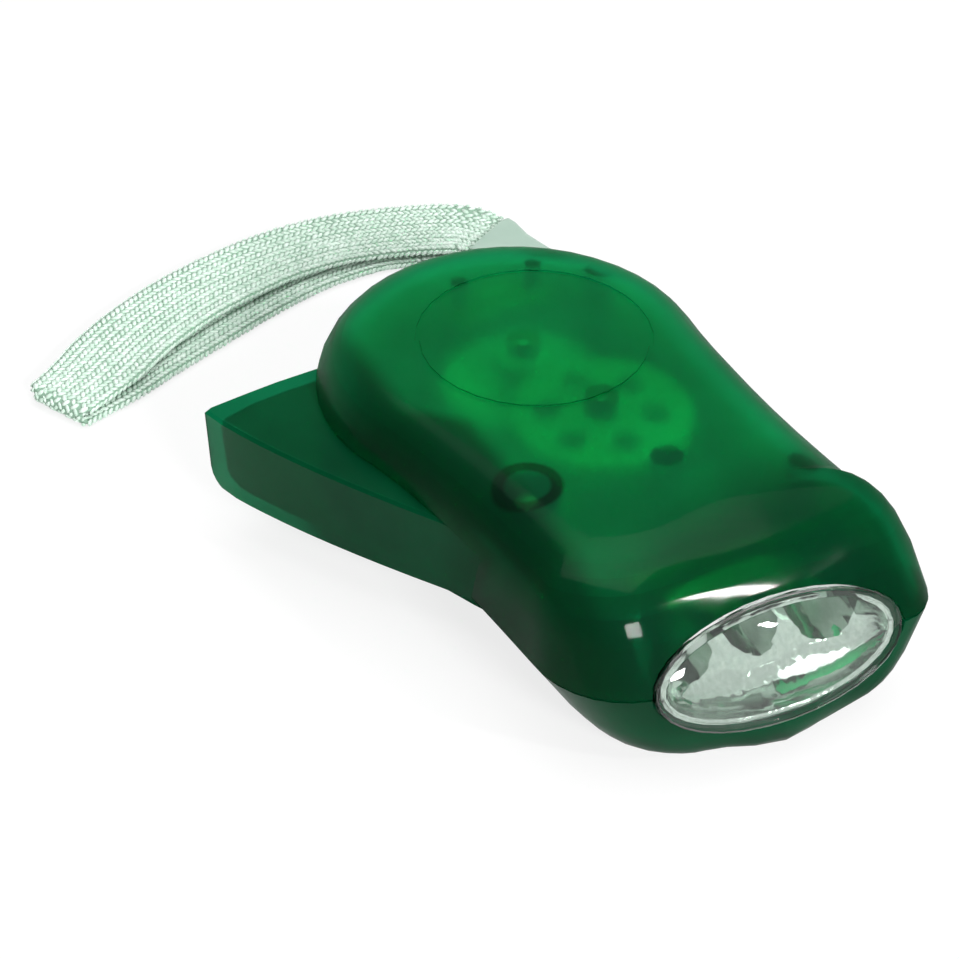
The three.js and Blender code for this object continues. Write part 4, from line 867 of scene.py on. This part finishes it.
def strap_core():
    """The flat tube of webbing under the stitches, with softly rounded edges, and its length."""
    sections = strap_sections(CORE_STEPS)
    outline = []
    for angle in turn_angles(CORE_SIDES, 0.5):
        c, s = math.cos(angle), math.sin(angle)
        flat = math.copysign(abs(c) ** CORE_FLAT_SHAPE, c)
        outline.append((flat, math.copysign(abs(s) ** CORE_EDGE_SHAPE, s)))
    rings = []
    for place, across, face, half, _ in sections:
        reach = half - STITCH_INSET
        thick = CORE_THICKNESS / 2
        rings.append([place + across * a * reach + face * n * thick for a, n in outline])
    return loft("strap webbing", rings, angle=60), sections[-1][4]


def strap_outline(half, share):
    """Offset across, offset out of the face and outward direction, a share of the way round."""
    edge = CORE_THICKNESS / 2
    flat = 2 * (half - edge)
    turn = math.pi * edge
    far = share * 2 * (flat + turn)
    side = 1.0
    if far >= flat + turn:
        far -= flat + turn
        side = -1.0
    if far < flat:
        return side * (flat / 2 - far), side * edge, (0.0, side)
    angle = math.pi / 2 + (far - flat) / edge
    out = (side * math.cos(angle), side * math.sin(angle))
    return side * -flat / 2 + out[0] * edge, out[1] * edge, out


def scattered(row, column):
    """A fixed share from 0 to 1 that looks random from one stitch to the next."""
    wobble = math.sin(row * 12.9898 + column * 78.233) * 43758.5453
    return wobble - math.floor(wobble)


def strap_stitch_points():
    """Where each stitch lies, with its face direction and its own slanted direction."""
    sections = strap_sections(STITCH_STEPS)
    places, faces, aheads, sizes = [], [], [], []
    columns = 2 * round((STRAP_WIDE + CORE_THICKNESS / 2) / COLUMN_SPACING)
    rows = round(sections[-1][4] / ROW_SPACING)
    index = 0
    for row in range(rows):
        for column in range(columns):
            wobble = scattered(row, column)
            way = 1 if column % 2 else -1
            want = (row + 0.5 + way * ROW_SHIFT + (wobble - 0.5) * ROW_WOBBLE) * ROW_SPACING
            while index < len(sections) - 2 and sections[index + 1][4] < want:
                index += 1
            while index > 0 and sections[index][4] > want:
                index -= 1
            first, second = sections[index], sections[index + 1]
            share = min(max((want - first[4]) / max(second[4] - first[4], 1e-9), 0), 1)
            place = first[0].lerp(second[0], share)
            across = first[1].lerp(second[1], share).normalized()
            face = first[2].lerp(second[2], share).normalized()
            half = first[3] + (second[3] - first[3]) * share
            ahead = across.cross(face).normalized()
            a, n, (out_a, out_n) = strap_outline(half - STITCH_INSET, (column + 0.5) / columns)
            tilt = (across * out_a + face * out_n).normalized()
            round_way = tilt.cross(ahead)
            rib = RIB_HEIGHT * math.cos(math.pi * (column // 2))
            places.append(place + across * a + face * n + tilt * rib)
            faces.append(tilt)
            aheads.append((ahead + round_way * way * STITCH_SLANT).normalized())
            size = STITCH_LEAST + STITCH_VARIES * wobble
            size *= 1 - STITCH_UPRIGHT + STITCH_UPRIGHT * abs(face.z)
            sizes.append(size * (1 - STITCH_EDGE * abs(out_a)))
    mesh = bpy.data.meshes.new("strap stitches")
    mesh.from_pydata(places, [], [])
    for name, values in (("facing", faces), ("heading", aheads)):
        attribute = mesh.attributes.new(name, "FLOAT_VECTOR", "POINT")
        attribute.data.foreach_set("vector", [v for vector in values for v in vector])
    attribute = mesh.attributes.new("fullness", "FLOAT", "POINT")
    attribute.data.foreach_set("value", sizes)
    return mesh


def stitch_tree(material):
    """One soft bead on each point, turned along its stitch."""
    graph, entry, (length, width, height) = tree_with("braid stitches", STITCH_SIZES)
    sockets = {"Radius": 0.5, "Subdivisions": 1}
    bead = graph.node("GeometryNodeMeshIcoSphere", sockets=sockets)
    soft = graph.node("GeometryNodeSetShadeSmooth", sockets={0: bead})
    sockets = {0: soft, "Scale": graph.vector(length, width, height)}
    grain = graph.node("GeometryNodeTransform", sockets=sockets)

    def stored(name, kind="FLOAT_VECTOR"):
        return graph.node("GeometryNodeInputNamedAttribute", {"data_type": kind}, {"Name": name})

    turn = graph.node(
        "FunctionNodeAxesToRotation",
        {"primary_axis": "Z", "secondary_axis": "X"},
        {0: stored("facing"), 1: stored("heading")},
    )
    laid = graph.node(
        "GeometryNodeInstanceOnPoints",
        sockets={
            "Points": entry,
            "Instance": grain,
            "Rotation": turn,
            "Scale": stored("fullness", "FLOAT"),
        },
    )
    return finish_tree(graph, laid, material)


core_mesh, strap_length = strap_core()
strap = new_piece("strap_core", core_mesh, webbing_core_in_painted_shade())
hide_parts("strap")
braid = grown("strap stitches", strap_stitch_points(), stitch_tree(WEBBING), STITCH_SIZES)
stitches = new_piece("strap_stitches", braid, WEBBING)

# ---------------------------------------------------------------- cord and ferrule

CORD_RADIUS = 0.8 * MM
CORD_STEPS = 150
CORD_SIDES = 14
CORD_TWIST_LENGTH = 2.6 * MM
CORD_STRAND_DEPTH = 0.14
CORD_POINTS = [
    (-7.03, 2.72, 0.24),
    (-6.75, 2.72, 0.28),
    (-6.3, 2.4, 0.5),
    (-5.75, 1.92, 1.05),
    (-5.23, 1.44, 1.6),
    (-4.9, 1.24, 1.76),
    (-4.71, 1.13, 1.66),
    (-4.61, 1.07, 1.4),
    (-4.71, 1.13, 1.14),
    (-4.9, 1.26, 1.04),
    (-5.2, 1.52, 0.96),
    (-5.65, 2.16, 0.5),
    (-6.25, 2.75, 0.22),
    (-6.75, 3.02, 0.2),
    (-6.99, 2.92, 0.24),
]


def twisted_cord():
    """The thin cord as a tube with a turned two-strand outline, its route and its length."""
    line, length = spline([Vector(point) * PLAN_UNIT for point in CORD_POINTS], CORD_STEPS)
    rings = []
    side = UP.cross(line[0][1]).normalized()
    for i, (place, ahead) in enumerate(line):
        side = (side - ahead * side.dot(ahead)).normalized()
        other = ahead.cross(side)
        twist = 2 * math.pi * length * i / CORD_STEPS / CORD_TWIST_LENGTH
        ring = []
        for angle in turn_angles(CORD_SIDES):
            strand = CORD_STRAND_DEPTH * abs(math.cos(angle - twist))
            radius = CORD_RADIUS * (1 - CORD_STRAND_DEPTH + strand)
            ring.append(place + side * math.cos(angle) * radius + other * math.sin(angle) * radius)
        rings.append(ring)
    return loft("cord", rings, angle=60), [place for place, _ in line], length


cord_mesh, cord_path, cord_length = twisted_cord()
cord = new_piece("cord_twisted", cord_mesh, WEBBING)
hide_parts("cord")

dressed_copy("ferrule", "ferrule_moulding", PALE, angle=50.0)

# ---------------------------------------------------------------- housing, lever, lens and lamps

LENS_CENTRE = Vector((62, 0, 22)) * MM
LAMP_SPACING = 10 * MM
LAMP_HEIGHT = 17 * MM
# Distance along x and radius, in millimetres, along the cup and its post.
LEAD_FRAME_PROFILE = [
    (34.3, 0.35),
    (37.7, 0.35),
    (37.9, 0.9),
    (39.3, 1.35),
    (39.4, 1.2),
    (38.4, 0.45),
]
LEAD_FRAME_SIDES = 20
CHIN_HEIGHT = 14 * MM
CHIN_NEAR = Vector((47, -17, 0)) * MM
CHIN_NEAR_REACH = 5.5 * MM
CHIN_NEAR_LIFT = 2.2 * MM
CHIN_FAR_LIFT = 3.3 * MM
CHIN_FAR_ASIDE = (5.5 * MM, 15 * MM)
CHIN_FAR_AHEAD = (34 * MM, 47 * MM)


def add_lead_frame(piece, aside):
    """The metal cup and its post inside a lamp, in a second finish."""
    form = bmesh.new()
    form.from_mesh(piece.data)
    rings = []
    for x, radius in LEAD_FRAME_PROFILE:
        turned = [
            (radius * MM * math.cos(angle), radius * MM * math.sin(angle))
            for angle in turn_angles(LEAD_FRAME_SIDES)
        ]
        rings.append([(x * MM, aside + across, LAMP_HEIGHT + up) for across, up in turned])
    ends, sides = skinned(form, rings)
    for face in ends + sides:
        face.material_index = 1
    for face in sides:
        face.smooth = True
    form.to_mesh(piece.data)
    form.free()
    piece.data.materials.append(LEAD_FRAME)


def round_the_chin(mesh):
    """Lifts the lower front corners a little, so that the chin's outline is one even curve."""
    for vertex in mesh.vertices:
        place = vertex.co
        fade = max(1 - place.z / CHIN_HEIGHT, 0.0) ** 2
        away = math.hypot(place.x - CHIN_NEAR.x, place.y - CHIN_NEAR.y) / CHIN_NEAR_REACH
        near = CHIN_NEAR_LIFT * math.exp(-0.5 * away * away)
        corner = eased(place.y, *CHIN_FAR_ASIDE) * eased(place.x, *CHIN_FAR_AHEAD)
        place.z += fade * (near + CHIN_FAR_LIFT * corner)


dressed_copy("upper_shell", "upper_housing", GREEN_SHELL_PAINTED_SHADE)
lower = dressed_copy("lower_shell", "lower_housing", GREEN_BASE_PAINTED_SHADE)
round_the_chin(lower.data)
dressed_copy("squeeze_lever", "lever_moulding", GREEN_LEVER, "lever")
dressed_copy("lens", "lens_window", LENS_CLEAR, angle=25.0)
reflector = dressed_copy("reflector", "reflector_moulding", SILVERED, angle=40.0)
reflector.data.materials.append(REFLECTOR_BACK)
for face in reflector.data.polygons:
    if face.normal.dot(LENS_CENTRE - face.center) < 0:
        face.material_index = 1
for number, side in enumerate(("left", "middle", "right")):
    lamp = dressed_copy("lamp_" + side, f"lamp_{side}_body", LAMP_CLEAR, angle=40.0)
    add_lead_frame(lamp, (number - 1) * LAMP_SPACING)

CARRIED_OVER = {
    **AXLE_STEEL,
    "sector_gear": NYLON,
    "step_pinion": NYLON,
    "step_wheel": NYLON,
    "rotor_pinion": NYLON,
    "lever_spring": SPRING_STEEL,
    "flywheel": PLATED_IRON,
    "ring_magnet": FERRITE,
    "stator_lower": CLAW_PLATE,
    "stator_upper": CLAW_PLATE,
    "coil_bobbin": BLACK,
    "stator_coil": COPPER,
    "lamp_board": BOARD,
    "charge_board": BOARD,
    "charge_cell": WRAP,
    "lamp_wire": RED,
    "lamp_return_wire": BLACK,
    "coil_wire": COPPER,
    "screw_middle": SCREW_STEEL,
    "screw_rear": SCREW_STEEL,
    "screw_front": SCREW_STEEL,
}
for node, material in CARRIED_OVER.items():
    for material_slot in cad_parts[node].material_slots:
        material_slot.material = material

# ---------------------------------------------------------------- table and light

TABLE_HALF = 3.0
TABLE_GAP = 0.05 * MM

table_mesh = bpy.data.meshes.new("table")
corners = [(-1, -1), (1, -1), (1, 1), (-1, 1)]
table_mesh.from_pydata([(x * TABLE_HALF, y * TABLE_HALF, 0) for x, y in corners], [], [range(4)])
table_mesh.materials.append(table_top())
table = bpy.data.objects.new("table", table_mesh)
bpy.context.collection.objects.link(table)
table.location.z = -TABLE_GAP


def soft_light(name, place, target, size, power):
    """A rectangular lamp at a place, facing a target."""
    data = bpy.data.lights.new(name, "AREA")
    data.shape = "RECTANGLE"
    data.size, data.size_y = size
    data.energy = power
    lamp = bpy.data.objects.new(name, data)
    bpy.context.collection.objects.link(lamp)
    lamp.location = place
    lamp.rotation_mode = "QUATERNION"
    lamp.rotation_quaternion = (Vector(target) - Vector(place)).to_track_quat("-Z", "Y")


HEAD = (0.04, 0, 0.02)
soft_light("rim window", (0.64, 0.345, 0.51), HEAD, size=(0.02, 0.1), power=2.2)
soft_light("small window", (0.78, -0.045, 0.46), HEAD, size=(0.2, 0.14), power=6)
soft_light("top light", (-0.1, 0.1, 1.0), (0, 0, 0), size=(1.2, 1.2), power=11.5)

# The studio is a white wall round the horizon, full to the camera, under a dimmer ceiling.
WALL_TOP, CEILING_START = 0.1, 0.42
CEILING_LIGHT = 0.2
WALL_LIGHT, WALL_SEEN, WALL_GLOSS = 0.2, 0.4, 0.35
CLEAR_LIGHT, GLOSS_LIGHT = 0.6, 0.1


def light_studio():
    """The world's light, stronger where the camera, gloss or clear parts look at it."""
    world = bpy.data.worlds.new("studio")
    bpy.context.scene.world = world
    world.use_nodes = True
    world.node_tree.nodes.clear()
    studio = Graph(world.node_tree)
    camera = studio.node("ShaderNodeLightPath", out="Is Camera Ray")
    glossy, through = studio.outs(camera, "Is Glossy Ray", "Is Transmission Ray")
    seen = camera.most(through).most(glossy * WALL_GLOSS)
    height = studio.parts(studio.node("ShaderNodeTexCoord", out="Generated"))[2]
    wall = 1.0 - studio.step(height, WALL_TOP, CEILING_START)
    around = CEILING_LIGHT + wall * (WALL_LIGHT + WALL_SEEN * seen)
    around = around + CLEAR_LIGHT * through + GLOSS_LIGHT * glossy
    strength = around.least(1.0).most(camera * wall)
    sockets = {"Color": colour(1, 1, 1), "Strength": strength}
    sky = studio.node("ShaderNodeBackground", sockets=sockets)
    studio.node("ShaderNodeOutputWorld", sockets={"Surface": sky})


light_studio()

bpy.context.scene.view_settings.view_transform = "Standard"
